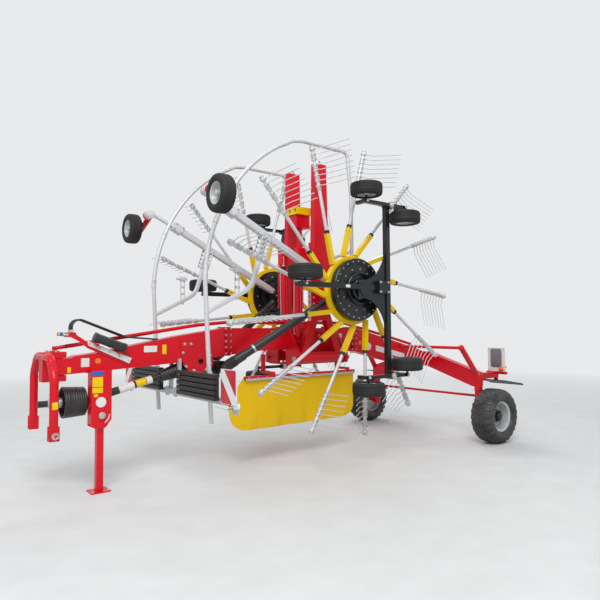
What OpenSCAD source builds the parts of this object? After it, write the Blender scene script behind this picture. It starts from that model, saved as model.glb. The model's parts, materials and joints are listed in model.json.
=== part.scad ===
// Twin-rotor centre-swath rotary rake, folded for the road and standing on its parking stand.
// X points forward, Y to the machine's left, Z up. The origin lies on the ground at the middle of
// the machine's box. Each rotor is drawn in its working pose (axis up) and then stood on edge.

/* [Overall] */
// Distance from the rear axle forward to the tips of the hitch
front_reach = 5880; // [5875:5:5960]
// Distance from the rear axle back to the rearmost flap
rear_reach = 600; // [580:5:700]

/* [Rotor] */
// Rotor hub ahead of the rear axle
hub_ahead = 2385; // [2300:5:2450]
// Height of the folded rotor's axis
hub_height = 2157; // [2100:1:2250]
// Distance of the arms' plane from the middle of the folded machine
arm_plane = 880; // [860:1:920]
// Radius at the tips of the tine arms
arm_reach = 1839; // [1790:1:1860]
// How far each arm's line passes beside the hub
arm_offset = 243; // [200:1:280]
// Number of tine arms on a rotor
arm_count = 13; // [9:1:15]
// Turn of the first arm ahead of straight up, in degrees
first_arm_turn = 12.5; // [0:0.5:20]
// Diameter of a tine arm's tube
arm_tube_d = 42; // [34:1:50]
// Width of the square socket that holds an arm
socket_w = 56; // [50:1:66]
// Distance from the hub at which the sockets end
socket_reach = 804; // [740:1:860]
// Length of a tine
tine_length = 515; // [420:5:520]
// Diameter of the tine wire
tine_d = 10; // [8:0.5:14]
// Distance between neighbouring tines on an arm
tine_step = 64; // [56:1:66]
// Radius of the black cam housing
cam_r = 392; // [370:1:410]

/* [Boom] */
// Height of the boom hinge
boom_hinge_height = 1280; // [1260:1:1300]
// Distance of the boom hinge from the middle of the machine
boom_hinge_side = 330; // [320:1:340]
// Boom centre ahead of the rear axle
boom_ahead = 2435; // [2420:1:2450]
// Width of the boom where the carriage slides
boom_w = 240; // [220:1:250]
// Width of the boom at its tip
boom_tip_w = 190; // [150:1:200]
// Thickness of the boom across the machine
boom_t = 90; // [80:1:96]
// Height of the folded boom's tip
boom_top = 3905; // [3850:1:3950]
// Running clearance between boom and carriage
slide_gap = 6; // [5:0.5:8]

/* [Main frame] */
// Width of the box beam
beam_w = 180; // [160:1:200]
// Thickness of heavy plates
plate_t = 20; // [16:1:25]

/* [Wheels] */
// Track of the rear wheels
track = 2630; // [2580:1:2650]
// Diameter of a rear tyre
tyre_d = 780; // [760:1:800]
// Width of a rear tyre
tyre_w = 340; // [300:1:350]
// Diameter of a rear rim at its flanges
rim_d = 455; // [440:1:470]
// Diameter of a small running wheel
small_d = 400; // [390:1:410]
// Width of a small running wheel
small_w = 165; // [150:1:170]
// Distance of the small wheels' axles from the middle of the folded machine
small_side = 1220; // [1215:1:1230]

/* [Hitch and stand] */
// Height of the lower link pins
pin_height = 675; // [660:1:700]
// Half the distance between the hitch legs
hitch_half = 425; // [400:1:440]
// Diameter of the lower link pins
pin_d = 28; // [22:0.5:36.5]
// Headstock pivot ahead of the rear axle
pivot_ahead = 5700; // [5680:1:5720]
// Height of the stand's hinge
stand_hinge_height = 790; // [770:1:800]
// Stand hinge ahead of the rear axle
stand_ahead = 5310; // [5295:1:5325]

/* [Hidden] */
$fn = 32;
red = "#c8102e";
yellow = "#f2c800";
white = "#e8e8e4";
black = "#1c1c1e";
grey = "#8c8f92";

// Stations along the machine in the row's frame
axle_x = -(front_reach - rear_reach) / 2;
hub_x = axle_x + hub_ahead;
boom_x = axle_x + boom_ahead;
pivot_x = axle_x + pivot_ahead;
stand_x = axle_x + stand_ahead;
wheel_r = tyre_d / 2;
small_r = small_d / 2;
arm_start = 372;
arm_tip_y = sqrt(arm_reach * arm_reach - arm_offset * arm_offset);
socket_end_y = sqrt(socket_reach * socket_reach - arm_offset * arm_offset);
// The crossbar that carries the warning plates and the ribbed guards
crossbar_ahead = 4400;
crossbar_height = 950;
crossbar_w = 60;
crossbar_face = crossbar_ahead + crossbar_w / 2 + 0.3;

// Turn of the tines about their arm, one value per arm: 0 hangs down in work, 90 lies in the arms' plane
tine_turns = [42, 50, 84, 97, 99, 108, 98, 74, 29, 20, 18, 26, 35];

module rod_between(a, b, d, n = 24) {
    v = b - a;
    l = norm(v);
    translate(a)
        rotate([0, acos(v[2] / l), atan2(v[1], v[0])])
            cylinder(h = l, d = d, $fn = n);
}

// A tube bent in the XY plane: straight runs and ring bends of radius r, with a weld bead at each joint
weld = 1.05;
slit = 0.5;
small_turn = 16;
function run(p, i) = (p[i + 1] - p[i]) / norm(p[i + 1] - p[i]);
function turn_at(p, k) = let (a = run(p, k - 1), b = run(p, k))
    atan2(a[0] * b[1] - a[1] * b[0], a[0] * b[0] + a[1] * b[1]);
function is_end(p, k) = k <= 0 || k >= len(p) - 1;
function trim_at(p, k, d, r) = is_end(p, k) ? 0 :
    abs(turn_at(p, k)) < small_turn ? d / 2 * tan(abs(turn_at(p, k)) / 2) : r * tan(abs(turn_at(p, k)) / 2);
function slit_at(p, k) = is_end(p, k) ? 0 : slit;
module weld_bead(at, along, d, n) {
    translate(at) rotate([0, 90, atan2(along[1], along[0])]) sphere(d = d * weld, $fn = n);
}
module bent_tube(p, d, r, n = 32) {
    for (i = [0 : len(p) - 2]) {
        a = p[i] + (trim_at(p, i, d, r) + slit_at(p, i)) * run(p, i);
        b = p[i + 1] - (trim_at(p, i + 1, d, r) + slit_at(p, i + 1)) * run(p, i);
        rod_between([a[0], a[1], 0], [b[0], b[1], 0], d, n);
    }
    for (k = [1 : len(p) - 2]) {
        u = run(p, k - 1);
        t = turn_at(p, k);
        side = t > 0 ? 1 : -1;
        from = atan2(-side * u[0], side * u[1]);
        c = p[k] - trim_at(p, k, d, r) * u + side * r * [-u[1], u[0]];
        nick = slit / r * 180 / PI;
        if (abs(t) < small_turn)
            translate([p[k][0], p[k][1], 0]) sphere(d = d * weld, $fn = n);
        else translate([c[0], c[1], 0]) {
            rotate([0, 0, (t > 0 ? from : from + t) + nick])
                rotate_extrude(angle = abs(t) - 2 * nick, $fn = 64) translate([r, 0]) circle(d = d, $fn = n);
            weld_bead([r * cos(from), r * sin(from), 0], u, d, n);
            weld_bead([r * cos(from + t), r * sin(from + t), 0], run(p, k), d, n);
        }
    }
}

// The same tube in the machine's side plane, or across it
module bent_side(y, p, d, r, n = 32) {
    translate([0, y, 0]) rotate([90, 0, 0]) bent_tube(p, d, r, n);
}
module bent_across(x, p, d, r, n = 32) {
    translate([x, 0, 0]) rotate([90, 0, 90]) bent_tube(p, d, r, n);
}

module bar_between(a, b, w, t) {
    v = b - a;
    l = norm(v);
    translate(a)
        rotate([0, acos(v[2] / l), atan2(v[1], v[0])])
            translate([-w / 2, -t / 2, 0]) cube([w, t, l]);
}

module both_sides() {
    children();
    mirror([0, 1, 0]) children();
}

// Draws in the side profile: X forward, Y up, extruded symmetrically across the machine
module side_plate(y, t) {
    translate([0, y + t / 2, 0]) rotate([90, 0, 0]) linear_extrude(t) children();
}

// Places a rotor drawn with its axis up, its outer side along +Y, on the left of the machine
module folded() {
    translate([hub_x, arm_plane, hub_height]) rotate([90, 0, 0]) children();
}

// MAIN FRAME
beam_top = [[5700, 1385], [5585, 1385], [5540, 1405], [5360, 1425], [4385, 1597], [3761, 1686], [1597, 1676], [406, 1383], [60, 1285]];
beam_bottom = [[60, 1060], [415, 1060], [1681, 1356], [3138, 1400], [3517, 1371], [4308, 1292],
    [5205, 1240], [5700, 1215]];

module main_beam() {
    color(red) difference() {
        union() {
            translate([axle_x, 0, 0]) {
                side_plate(0, beam_w) polygon(concat(beam_top, beam_bottom));
                // bolted flanges of the two beam joints
                for (f = [[3740, 1345, 1700], [1640, 1340, 1690]])
                    for (side = [-24, 4])
                        translate([f[0] + side, -beam_w / 2 - 35, f[1]])
                            cube([plate_t, beam_w + 70, f[2] - f[1]]);
                // cheek plates at the bend over the drive line
                for (side = [-1, 1])
                    side_plate(side * (beam_w / 2 + 6), 12)
                        difference() {
                            polygon([[3945, 1360], [4260, 1560], [4390, 1560], [4330, 1250], [4240, 1165],
                                [4000, 1165], [3945, 1230]]);
                            translate([4110, 1290]) circle(d = 70);
                        }
            }
            // vertical sleeve of the headstock pivot
            translate([pivot_x, 0, 1215]) cylinder(h = 170, d = 170, $fn = 48);
            // stand bracket, a downward channel on the left of the drive line
            stand_bracket();
        }
        translate([pivot_x, 0, 1200]) cylinder(h = 220, d = 90.2, $fn = 48);
        translate([stand_x, 60, stand_hinge_height])
            rotate([-90, 0, 0]) cylinder(h = 200, d = 30.2, $fn = 32);
    }
}

stand_in = 96;
stand_gap = 100;
bracket_half = 105;
bracket_top = 1250;
module stand_bracket() {
    translate([stand_x, 0, 0])
        for (y = [stand_in + 6, stand_in + stand_gap + 18])
            side_plate(y, 12)
                difference() {
                    union() {
                        polygon([[-bracket_half, bracket_top], [bracket_half, bracket_top], [bracket_half, 680],
                            [60, 655], [-40, 655], [-bracket_half, 740]]);
                        translate([0, stand_hinge_height - 60]) circle(r = 80);
                    }
                    for (a = [20 : 4 : 88])
                        translate([-85 * sin(a), stand_hinge_height - 85 * cos(a)]) circle(d = 16);
                }
    // the web that joins the two cheeks at the front, and the cross piece under the beam
    translate([stand_x + bracket_half - plate_t, stand_in, 700])
        cube([plate_t, stand_gap + 24, bracket_top - 700]);
    translate([stand_x - bracket_half, 0, bracket_top - 30])
        cube([2 * bracket_half, stand_in + stand_gap + 24, 40]);
}

seat = 0.3;
module centre_frame() {
    ear_x = [boom_x - 400, boom_x + 400];
    color(red) union() {
            // saddle boxes on both sides of the beam
            both_sides() translate([ear_x[0] + plate_t + seat, beam_w / 2, 1290]) cube([560, 70, 330]);
            // hinge ears beside the beam at each end of the booms' feet
            both_sides() for (x = ear_x)
                translate([x - plate_t, 0, 0]) rotate([90, 0, 90]) linear_extrude(2 * plate_t)
                    difference() {
                        polygon([[beam_w / 2 + 0.2, 1700], [beam_w / 2 + 40, 1700], [boom_hinge_side + 60, 1330],
                            [boom_hinge_side + 60, 1215], [boom_hinge_side - 60, 1195],
                            [beam_w / 2 + 0.2, 1195]]);
                        translate([boom_hinge_side, boom_hinge_height]) circle(d = 50.2, $fn = 32);
                    }
            // lower plate under the beam, between the ears
            translate([ear_x[0] + plate_t + seat, -beam_w / 2 - 60, 1195])
                cube([ear_x[1] - ear_x[0] - 2 * plate_t - 2 * seat, beam_w + 120, 20]);
            // mast with its foot
            translate([axle_x + 2543, 0, 1690]) cylinder(h = 1371, d = 76, $fn = 32);
            translate([axle_x + 2443, -130, 1681.2]) cube([200, 260, 18.8]);
            translate([axle_x + 2420, -75, 3060]) cube([230, 150, 180]);
            // lugs of the lift cylinders
            for (side = [-1, 1]) for (dx = [-45, 25])
                translate([lift_x + dx, side > 0 ? beam_w / 2 : -lift_base[0] - 35, lift_base[1] - 45])
                    cube([20, lift_base[0] + 35 - beam_w / 2, 90]);
    }
    // hinge pins
    color(grey) for (side = [-1, 1])
        for (x = ear_x)
            translate([x - 55, side * boom_hinge_side, boom_hinge_height])
                rotate([0, 90, 0]) cylinder(h = 110, d = 50.2, $fn = 32);
}

module mast_head() {
    color(yellow) difference() {
        translate([axle_x + 2400, -110, 3240.2]) cube([270, 220, 100]);
        for (side = [-1, 1])
            translate([axle_x + 2390, side * 62, 3295]) rotate([0, 90, 0]) cylinder(h = 300, d = 56);
    }
}

// REAR AXLE
kingpin_side = 1060;
kingpin_top = 950;
kingpin_low = 640;
module axle_beam() {
    color(red) difference() {
        union() {
            both_sides() {
                translate([axle_x - 60, 0, 0]) rotate([90, 0, 90]) linear_extrude(119.7)
                    polygon([[0, 1285], [160, 1285], [kingpin_side + 40, 1000], [kingpin_side + 40, 800],
                        [kingpin_side - 60, 790], [140, 1055], [0, 1055]]);
                translate([axle_x, kingpin_side, 720]) cylinder(h = 250, d = 120, $fn = 40);
                // arm that carries the light board
                translate([axle_x - 20, kingpin_side - 20, 900]) rotate([0, -90, 0])
                    linear_extrude(440) square([90, 60]);
                translate([axle_x - 470, kingpin_side - 140, 955]) cube([60, 330, 40]);
                // hanger of the mud flap
                translate([axle_x - 450, kingpin_side - 20, 850]) cube([20, 60, 60]);
            }
        }
        both_sides() translate([axle_x, kingpin_side, 500]) cylinder(h = 460, d = 60.2, $fn = 40);
    }
    // stays from the beam's sides to the axle's ends, each with a lever down to the kingpin housing
    color(red) both_sides() {
        translate([axle_x + stay_root[0] - 40, beam_w / 2 + 0.3, stay_root[2] - 35]) cube([80, 14, 70]);
        rod_between([axle_x + stay_root[0], stay_root[1], stay_root[2]],
            [axle_x + stay_end[0], stay_end[1], stay_end[2]], 46, 24);
        translate([axle_x + stay_end[0], stay_end[1], stay_end[2]]) sphere(d = 90, $fn = 24);
        bar_between([axle_x + stay_end[0], stay_end[1], stay_end[2]], [axle_x + 30, kingpin_side, 960], 36, 80);
    }
}
stay_root = [613, beam_w / 2 + 8, 1385];
stay_end = [330, 1010, 1372];

module knuckle() {
    color(red) {
        translate([axle_x, kingpin_side, wheel_r - 60]) {
            cylinder(h = 720 - wheel_r + 60 - 5, d = 110, $fn = 40);
            cylinder(h = kingpin_top - wheel_r + 60, d = 60, $fn = 40);
        }
        translate([axle_x, kingpin_side, wheel_r]) rotate([-90, 0, 0])
            cylinder(h = 80, d = 110, $fn = 40);
        translate([axle_x, kingpin_side, wheel_r]) rotate([-90, 0, 0])
            cylinder(h = track / 2 + 60 - kingpin_side, d = 60, $fn = 40);
        // steering arm towards the rear
        translate([axle_x - tie_back - 30, kingpin_side - 25, 560]) cube([tie_back + 30, 50, 30]);
    }
}
tie_back = 210;

module tie_rod() {
    color(red) {
        rod_between([axle_x - tie_back, -kingpin_side, 620], [axle_x - tie_back, kingpin_side, 620], 40);
        for (side = [-1, 1])
            translate([axle_x - tie_back, side * kingpin_side, 590.3]) cylinder(h = 48, d = 56);
    }
}

module rear_tyre() {
    color(black) translate([axle_x, track / 2, wheel_r]) rotate([90, 0, 0])
        rotate_extrude($fn = 96)
            polygon([[rim_d / 2 - 12, -tyre_w / 2 + 40], [rim_d / 2 + 20, -tyre_w / 2 + 12],
                [wheel_r - 90, -tyre_w / 2], [wheel_r - 40, -tyre_w / 2 + 18], [wheel_r, -tyre_w / 2 + 60],
                [wheel_r, tyre_w / 2 - 60], [wheel_r - 40, tyre_w / 2 - 18], [wheel_r - 90, tyre_w / 2],
                [rim_d / 2 + 20, tyre_w / 2 - 12], [rim_d / 2 - 12, tyre_w / 2 - 40]]);
}

module rear_rim() {
    color(grey) translate([axle_x, track / 2, wheel_r]) rotate([90, 0, 0])
        difference() {
            rotate_extrude($fn = 72)
                polygon([[30.3, -60], [90, -60], [90, -30], [190, 10], [rim_d / 2 - 40, 10],
                    [rim_d / 2 - 40, -tyre_w / 2 + 60], [rim_d / 2 - 13, -tyre_w / 2 + 45],
                    [rim_d / 2 - 13, tyre_w / 2 - 45], [rim_d / 2 - 25, tyre_w / 2 - 45],
                    [rim_d / 2 - 28, 22], [185, 22], [85, -18], [85, 70], [30.3, 70]]);
        }
}

// FRONT OF THE FRAME
module hose_guide() {
    color(red) {
        // sloping plate along the left of the drawbar, with the head that holds the hoses
        translate([axle_x, 0, 0]) {
            side_plate(beam_w / 2 + 6.3, 12)
                polygon([[5443, 1560], [4919, 1314], [4905, 1250], [5420, 1480], [5500, 1550], [5590, 1600],
                    [5560, 1640]]);
            translate([5540, -110, 1600]) cube([70, 212, 50]);
        }
        // saddles of the document tube
        for (x = [5090, 5320])
            translate([axle_x + x, beam_w / 2 + 12, tube_low[1] + (x - tube_low[0]) * tube_slope - 81.4])
                cube([24, 60, 30]);
    }
}

hose_rows = [-33, -6, 21, 48, 75];
module hoses() {
    color(black) for (y = hose_rows)
        bent_side(y, [[axle_x + 5575, 1650.3], [axle_x + 5575, 1820.7], [axle_x + 5000, 1593.1],
            [axle_x + 4640, 1562.3]], 18, 82, 8);
}

tube_low = [5040, 1473];
tube_slope = 0.3886;
module document_tube() {
    color(black) rod_between([axle_x + tube_low[0], 150, tube_low[1]],
        [axle_x + tube_low[0] + 332, 150, tube_low[1] + 332 * tube_slope], 95, 40);
}

module crossbar() {
    cx = axle_x + crossbar_ahead;
    w = crossbar_w;
    color(grey) {
        translate([cx - w / 2, -1300, crossbar_height - w / 2]) cube([w, 2600, w]);
        both_sides() translate([cx - w / 2, beam_w / 2 + 0.3, crossbar_height + w / 2]) cube([40, 40, 355]);
        both_sides() rod_between([cx - 5, 1180, crossbar_height], [cx - 5, 1389.7, crossbar_height - 24], 30);
    }
}

module marker_boards() {
    color(white) both_sides() {
        translate([axle_x + crossbar_face, 1175, crossbar_height - 15]) cube([12, 300, 345]);
        translate([axle_x - 460, 935, 995.3]) cube([20, 290, 362]);
    }
}

module lamps() {
    color(white) both_sides() translate([axle_x + crossbar_ahead - 5, 1420, crossbar_height - 25]) sphere(d = 60);
    color("orange") both_sides() translate([axle_x - 439.7, 1140, 1010]) cube([14, 60, 60]);
}

module ribbed_guards() {
    color(black) both_sides()
        translate([axle_x + crossbar_face, 240, crossbar_height + 5]) {
            cube([20, 880, 262]);
            for (i = [0 : 4]) translate([20, 0, i * 55]) cube([36, 880, 42]);
        }
}

module pto_shaft() {
    color(black) {
        // guard bell, stub and the tube back to the gearbox
        translate([axle_x + 5426, 0, 925]) rotate([0, 90, 0]) difference() {
            cylinder(h = 220, r1 = 145, r2 = 160, $fn = 48);
            translate([0, 0, 170]) cylinder(h = 100, r = 140, $fn = 48);
        }
        rod_between([axle_x + 5350, 0, 925], [axle_x + 5800, 0, 925], 66, 32);
        translate([axle_x + 5795, 0, 925]) rotate([0, 90, 0]) cylinder(h = front_reach - 5795, d = 66, $fn = 32);
        rod_between([axle_x + 5400, 0, 925], [axle_x + 4560, 0, 1140], 84, 32);
        rod_between([axle_x + 4560, 0, 1140], [axle_x + 4345, 0, 1195], 130, 32);
        translate([axle_x + 4310.3, 0, 1200]) rotate([0, 90, 0]) cylinder(h = 40, d = 70);
    }
}

gearbox_x = axle_x + 3850;
module gearbox() {
    half = beam_w / 2 - 0.3;
    color(black) {
        // box between the beam's cheeks, its input at the front and the cross housing of the two outputs
        translate([gearbox_x, -half, 1085]) cube([340, 2 * half, 200]);
        translate([gearbox_x + 330, 0, 1210]) rotate([0, 90, 0]) cylinder(h = 130, d = 110);
        translate([gearbox_x, 170, 1215]) rotate([90, 0, 0]) cylinder(h = 340, d = 150, $fn = 40);
    }
}

flap_top = [[-110, 899.7], [-560, 829]];
module mud_flaps() {
    color(black) both_sides() translate([axle_x, 1430, 0]) rotate([90, 0, 0]) linear_extrude(580)
        polygon([flap_top[0], flap_top[1], [-rear_reach, 808], [-rear_reach, 796], [-565, 815],
            [flap_top[0][0], 885]]);
}

// SWATH CURTAIN
curtain_side = 330;
module curtain_bar() {
    color(red) {
        translate([axle_x + 1850, curtain_side - 15, 1050]) cube([1790, 30, 50]);
        // arms from the frame, which pass over the curtain's edge
        for (a = [[1950, 1365], [3200, 1345]]) {
            translate([axle_x + a[0], beam_w / 2 + 0.3, 1105]) cube([50, 30, a[1] - 1105]);
            translate([axle_x + a[0], beam_w / 2 + 0.3, 1105]) cube([50, curtain_side - beam_w / 2, 30]);
            translate([axle_x + a[0], curtain_side - 15, 1095]) cube([50, 30, 40]);
        }
    }
}

module swath_curtain() {
    color(yellow) translate([axle_x, curtain_side - 15.3, 0]) rotate([90, 0, 0])
        linear_extrude(8) union() {
            polygon([[1850, 1095], [1850, 600], [1865, 550], [1900, 505], [1960, 475], [2080, 458], [3560, 445],
                [3650, 452], [3730, 480], [3790, 530], [3826, 600], [3846, 690], [3844, 777], [3800, 860],
                [3706, 1010], [3640, 1095]]);
        }
}

// HEADSTOCK
module headstock() {
    hx = axle_x + 5825;
    color(red) {
        bent_across(hx, [[-hitch_half, 720], [-hitch_half, 1220], [-260, 1405], [260, 1405], [hitch_half, 1220],
            [hitch_half, 720]], 82, 130);
        // fork around the sleeve of the drawbar, and its pin
        for (z = [1150, 1390]) {
            translate([pivot_x - 75, -75, z]) cube([hx - pivot_x + 75, 150, 60]);
        }
        translate([hx - 30, -75, 1150]) cube([60, 150, 300]);
        translate([pivot_x, 0, 1150]) cylinder(h = 300, d = 90, $fn = 48);
        // cheeks that hold the lower link pins
        both_sides() for (y = [hitch_half - 36, hitch_half + 24])
            translate([hx - 48, y, 620]) cube([96, 12, 140]);
        // arm of the steering rod, out to the right of the pivot
        translate([pivot_x - 25, steer_arm - 30, 1440]) cube([70, 30 - steer_arm, 20]);
    }
    color(grey) both_sides() translate([hx, hitch_half - 40, pin_height])
        rotate([-90, 0, 0]) cylinder(h = 150, d = pin_d, $fn = 48);
}

steer_arm = -105;
steer_side = -72;
steer_line = [[5600, 1502], [4069, 1725], [3652, 1760], [1680, 1752], [835, 1560], [200, 1405]];
module steering_rod() {
    color(red) {
        bent_side(steer_side, [for (p = steer_line) [axle_x + p[0], p[1]]], 44, 300);
        rod_between([axle_x + 5600, steer_side, 1502], [pivot_x, steer_arm, 1485], 40, 20);
        translate([pivot_x, steer_arm, 1460.3]) cylinder(h = 45, d = 50);
    }
}

// STAND
module stand_leg() {
    mid = stand_in + 12 + stand_gap / 2;
    color(red) difference() {
        union() {
            translate([stand_x - 35, mid - 35, 12]) cube([70, 70, stand_hinge_height - 12]);
            translate([stand_x, mid - 40, stand_hinge_height]) rotate([-90, 0, 0]) cylinder(h = 80, d = 90);
            translate([stand_x - 100, mid - 90, 0]) cube([200, 180, 12]);
        }
        translate([stand_x, mid - 60, stand_hinge_height]) rotate([-90, 0, 0]) cylinder(h = 120, d = 30.2);
    }
    color(grey) translate([stand_x, stand_in - 20, stand_hinge_height]) rotate([-90, 0, 0])
        cylinder(h = stand_gap + 64, d = 30.15);
}

// BOOMS
lift_x = axle_x + 2700;
lift_base = [140, 1500];
lift_eye = [170, 2700];
boom_foot_half = 355;
boom_bend = 1950;
module boom() {
    y0 = boom_hinge_side - boom_t / 2 - 30;
    color(red) difference() {
        union() {
            translate([boom_x, y0 + boom_t, 0]) rotate([90, 0, 0]) linear_extrude(boom_t)
                polygon([[-boom_foot_half, 1230], [-boom_foot_half, 1340], [-boom_w / 2 - 15, boom_bend - 60],
                    [-boom_w / 2, boom_bend], [-boom_w / 2, 2850], [-boom_tip_w / 2, boom_top],
                    [boom_tip_w / 2, boom_top], [boom_w / 2, 2850], [boom_w / 2, boom_bend],
                    [boom_w / 2 + 15, boom_bend - 60], [boom_foot_half, 1340], [boom_foot_half, 1230]]);
            translate([boom_x - boom_foot_half, boom_hinge_side, boom_hinge_height])
                rotate([0, 90, 0]) cylinder(h = 2 * boom_foot_half, d = 110, $fn = 40);
        }
        translate([boom_x - 500, boom_hinge_side, boom_hinge_height])
            rotate([0, 90, 0]) cylinder(h = 1000, d = 50.4, $fn = 40);
        // opening in the A of the foot
        translate([boom_x, 600, 0]) rotate([90, 0, 0]) linear_extrude(600)
            polygon([[-230, 1360], [230, 1360], [70, 1780], [-70, 1780]]);
    }
    // bracket of the lift cylinder's rod, on a web that passes through the carriage's slot
    color(red) for (dx = [-48, 28])
        translate([lift_x + dx, lift_eye[0] - 40, lift_eye[1] - 140]) cube([20, 101, 200]);
    color(red) translate([boom_x + 55, lift_eye[0] + 41, lift_eye[1] - 140])
        cube([lift_x + 48 - boom_x - 55, 20, 200]);
    color(red) translate([boom_x + 55, lift_eye[0] + 41, lift_eye[1] - 140]) cube([50, 60, 200]);
}

lift_vec = [0, lift_eye[0] - lift_base[0], lift_eye[1] - lift_base[1]];
lift_len = norm(lift_vec);
lift_tilt = atan2(lift_vec[1], lift_vec[2]);
module lift_frame() {
    translate([lift_x, lift_base[0], lift_base[1]]) rotate([-lift_tilt, 0, 0]) children();
}

module lift_barrel() {
    color(red) lift_frame() difference() {
        union() {
            translate([0, 0, 60]) cylinder(h = lift_len - 220, d = 84);
            rotate([0, 90, 0]) translate([0, 0, -24.7]) cylinder(h = 49.4, d = 60);
            translate([-22, -25, 0]) cube([44, 50, 70]);
        }
        translate([0, 0, 100]) cylinder(h = lift_len, d = 46.4);
    }
}

module lift_rod() {
    color(grey) lift_frame() {
        translate([0, 0, 110]) cylinder(h = lift_len - 110 - 20, d = 46);
        translate([-22, 0, lift_len]) rotate([0, 90, 0]) difference() {
            cylinder(h = 44, d = 70);
            translate([0, 0, -1]) cylinder(h = 46, d = 30);
        }
    }
}

// CARRIAGE
sleeve_low = 1960;
sleeve_top = 2830;
module carriage() {
    yb = boom_hinge_side - boom_t / 2 - 30;
    w = boom_w + 2 * slide_gap;
    color(red) difference() {
        union() {
            translate([boom_x - w / 2 - 12, yb - slide_gap - 12, sleeve_low])
                cube([w + 24, boom_t + 2 * slide_gap + 24, sleeve_top - sleeve_low]);
            // tapered outer cheek
            translate([boom_x, yb + boom_t + slide_gap + 36, 0]) rotate([90, 0, 0]) linear_extrude(24)
                polygon([[-150, sleeve_top], [150, sleeve_top], [205, 2350], [205, sleeve_low], [-205, sleeve_low],
                    [-205, 2350]]);
            // trunnion housing towards the rotor
            translate([hub_x - 150, yb + boom_t + slide_gap + 30, hub_height - 160])
                cube([260, 600 - (yb + boom_t + slide_gap + 30), 320]);
        }
        translate([boom_x - w / 2, yb - slide_gap, sleeve_low - 10])
            cube([w, boom_t + 2 * slide_gap, sleeve_top - sleeve_low + 20]);
        // slot that the cylinder's web passes through
        translate([boom_x + 48, yb - slide_gap - 20, sleeve_low - 10])
            cube([64, 40, sleeve_top - sleeve_low + 20]);
    }
}

// ROTOR, drawn with its axis up: X forward, Y outward, Z up
// A point on the hollow edge of the gusset, a quarter of an ellipse from the cross beam to the hub's arm
function gusset_arc(t, side) = [60 - 420 * cos(t), side * (560 - 450 * sin(t))];
module chassis() {
    deck = arm_plane - 1090;
    color(black) folded() {
        // gear housing above the arms, the shaft through them and the cam housing below
        translate([0, 0, 120]) cylinder(h = 159.8, r = 150, $fn = 48);
        translate([0, 0, -120]) cylinder(h = 260, r = 118, $fn = 48);
        translate([0, 0, -120]) cylinder(h = 75, r = cam_r, $fn = 96);
        translate([0, 0, -260]) cylinder(h = 150, r = 90, $fn = 48);
        // cross beam behind the hub
        translate([-428, -1085, deck - 60]) cube([70, 2170, 60]);
        // gusset web from the beam to the hub
        translate([0, 0, deck - 40]) linear_extrude(20) difference() {
            polygon(concat([for (t = [0 : 10 : 90]) gusset_arc(t, 1)], [[110, 110], [110, -110]],
                [for (t = [90 : -10 : 0]) gusset_arc(t, -1)]));
            circle(d = 100);
        }
        // arm of the front wheel
        translate([-400, -5, deck - 55]) cube([1420, 60, 50]);
        translate([-360, -50, deck - 100]) cube([170, 160, 140]);
        // rockers of the wheel pairs
        for (side = [-1, 1]) {
            translate([-680, side * 1085 - 22, deck - 130]) cube([760, 44, 60]);
            translate([-393, side * 1085, deck - 130]) cylinder(h = 130, d = 90);
        }
        // axle stubs
        for (w = small_wheels)
            rod_between([w[0], w[1], arm_plane - small_side],
                [w[0], w[2], arm_plane - small_side], 30);
        for (w = small_wheels)
            translate([w[0] - 22, w[2] - 22, arm_plane - small_side - 15])
                cube([44, 44, small_side - 1090 + 60]);
    }
}

// Small wheels of one rotor: centre along X, centre along Y, Y of the bar that carries it
small_wheels = [[1010, 152, 25], [50, 1222, 1085], [-640, 948, 1085], [50, -1222, -1085], [-640, -948, -1085]];

module small_wheel(i) {
    w = small_wheels[i];
    folded() translate([w[0], w[1], arm_plane - small_side]) rotate([90, 0, 0]) small_tyre();
}

module small_tyre() {
    color(black) rotate_extrude($fn = 64)
        polygon([[15.3, -50], [40, -50], [40, -12], [95, -12], [110, -small_w / 2 + 8],
            [small_r - 40, -small_w / 2], [small_r - 8, -small_w / 2 + 18], [small_r, -small_w / 2 + 45],
            [small_r, small_w / 2 - 45], [small_r - 8, small_w / 2 - 18], [small_r - 40, small_w / 2],
            [110, small_w / 2 - 8], [95, 12], [40, 12], [40, 50], [15.3, 50]]);
}

hoop_z = 180;
hoop_r = 1985;
tube_turn = 63;
tube_reach = 1880;
hoop_foot = [hoop_r - 80, -1500];
hoop_start = hoop_r * [cos(1.5), sin(1.5)];
hoop_end = hoop_r * [cos(67), sin(67)];
hoop_rail = hoop_end[1] + 23;
module guard() {
    color(white) folded() {
        translate([0, 0, hoop_z]) {
            rotate([0, 0, 1.5]) rotate_extrude(angle = 65.5, $fn = 180) translate([hoop_r, 0]) circle(d = 50, $fn = 32);
            for (a = [1.5, 67]) translate([hoop_r * cos(a), hoop_r * sin(a), 0]) sphere(d = 53, $fn = 32);
            rod_between([hoop_foot[0], hoop_foot[1], 0], [hoop_start[0], hoop_start[1] - 2, 0], 50, 32);
            bent_tube([[hoop_end[0] - 2, hoop_end[1]], [hoop_end[0] - 135, hoop_rail], [-110, hoop_rail],
                [-173, 1269], [-176, 455], [-76, 142]], 50, 90);
            // bent stay from the hoop to the square tube
            bent_tube([hoop_foot + 0.775 * (hoop_start - hoop_foot), [hoop_r - 590, -10],
                1342.6 * [sin(tube_turn), cos(tube_turn)]], 44, 260);
        }
        // square tube of the sensing wheel
        rotate([0, 0, 90 - tube_turn])
            translate([150.3, -50, hoop_z - 50]) cube([tube_reach - 150.3, 100, 100]);
        // clamp at its end with the short arm of the castor
        rotate([0, 0, 90 - tube_turn])
            translate([tube_reach - 90, -75, hoop_z - 75]) cube([140, 150, 150]);
        bar_between(sensing_root, sensing_pivot + [-60, 0, 60], 70, 70);
        translate(sensing_pivot + [0, 0, -20]) cylinder(h = 120, d = 110);
    }
}
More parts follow.
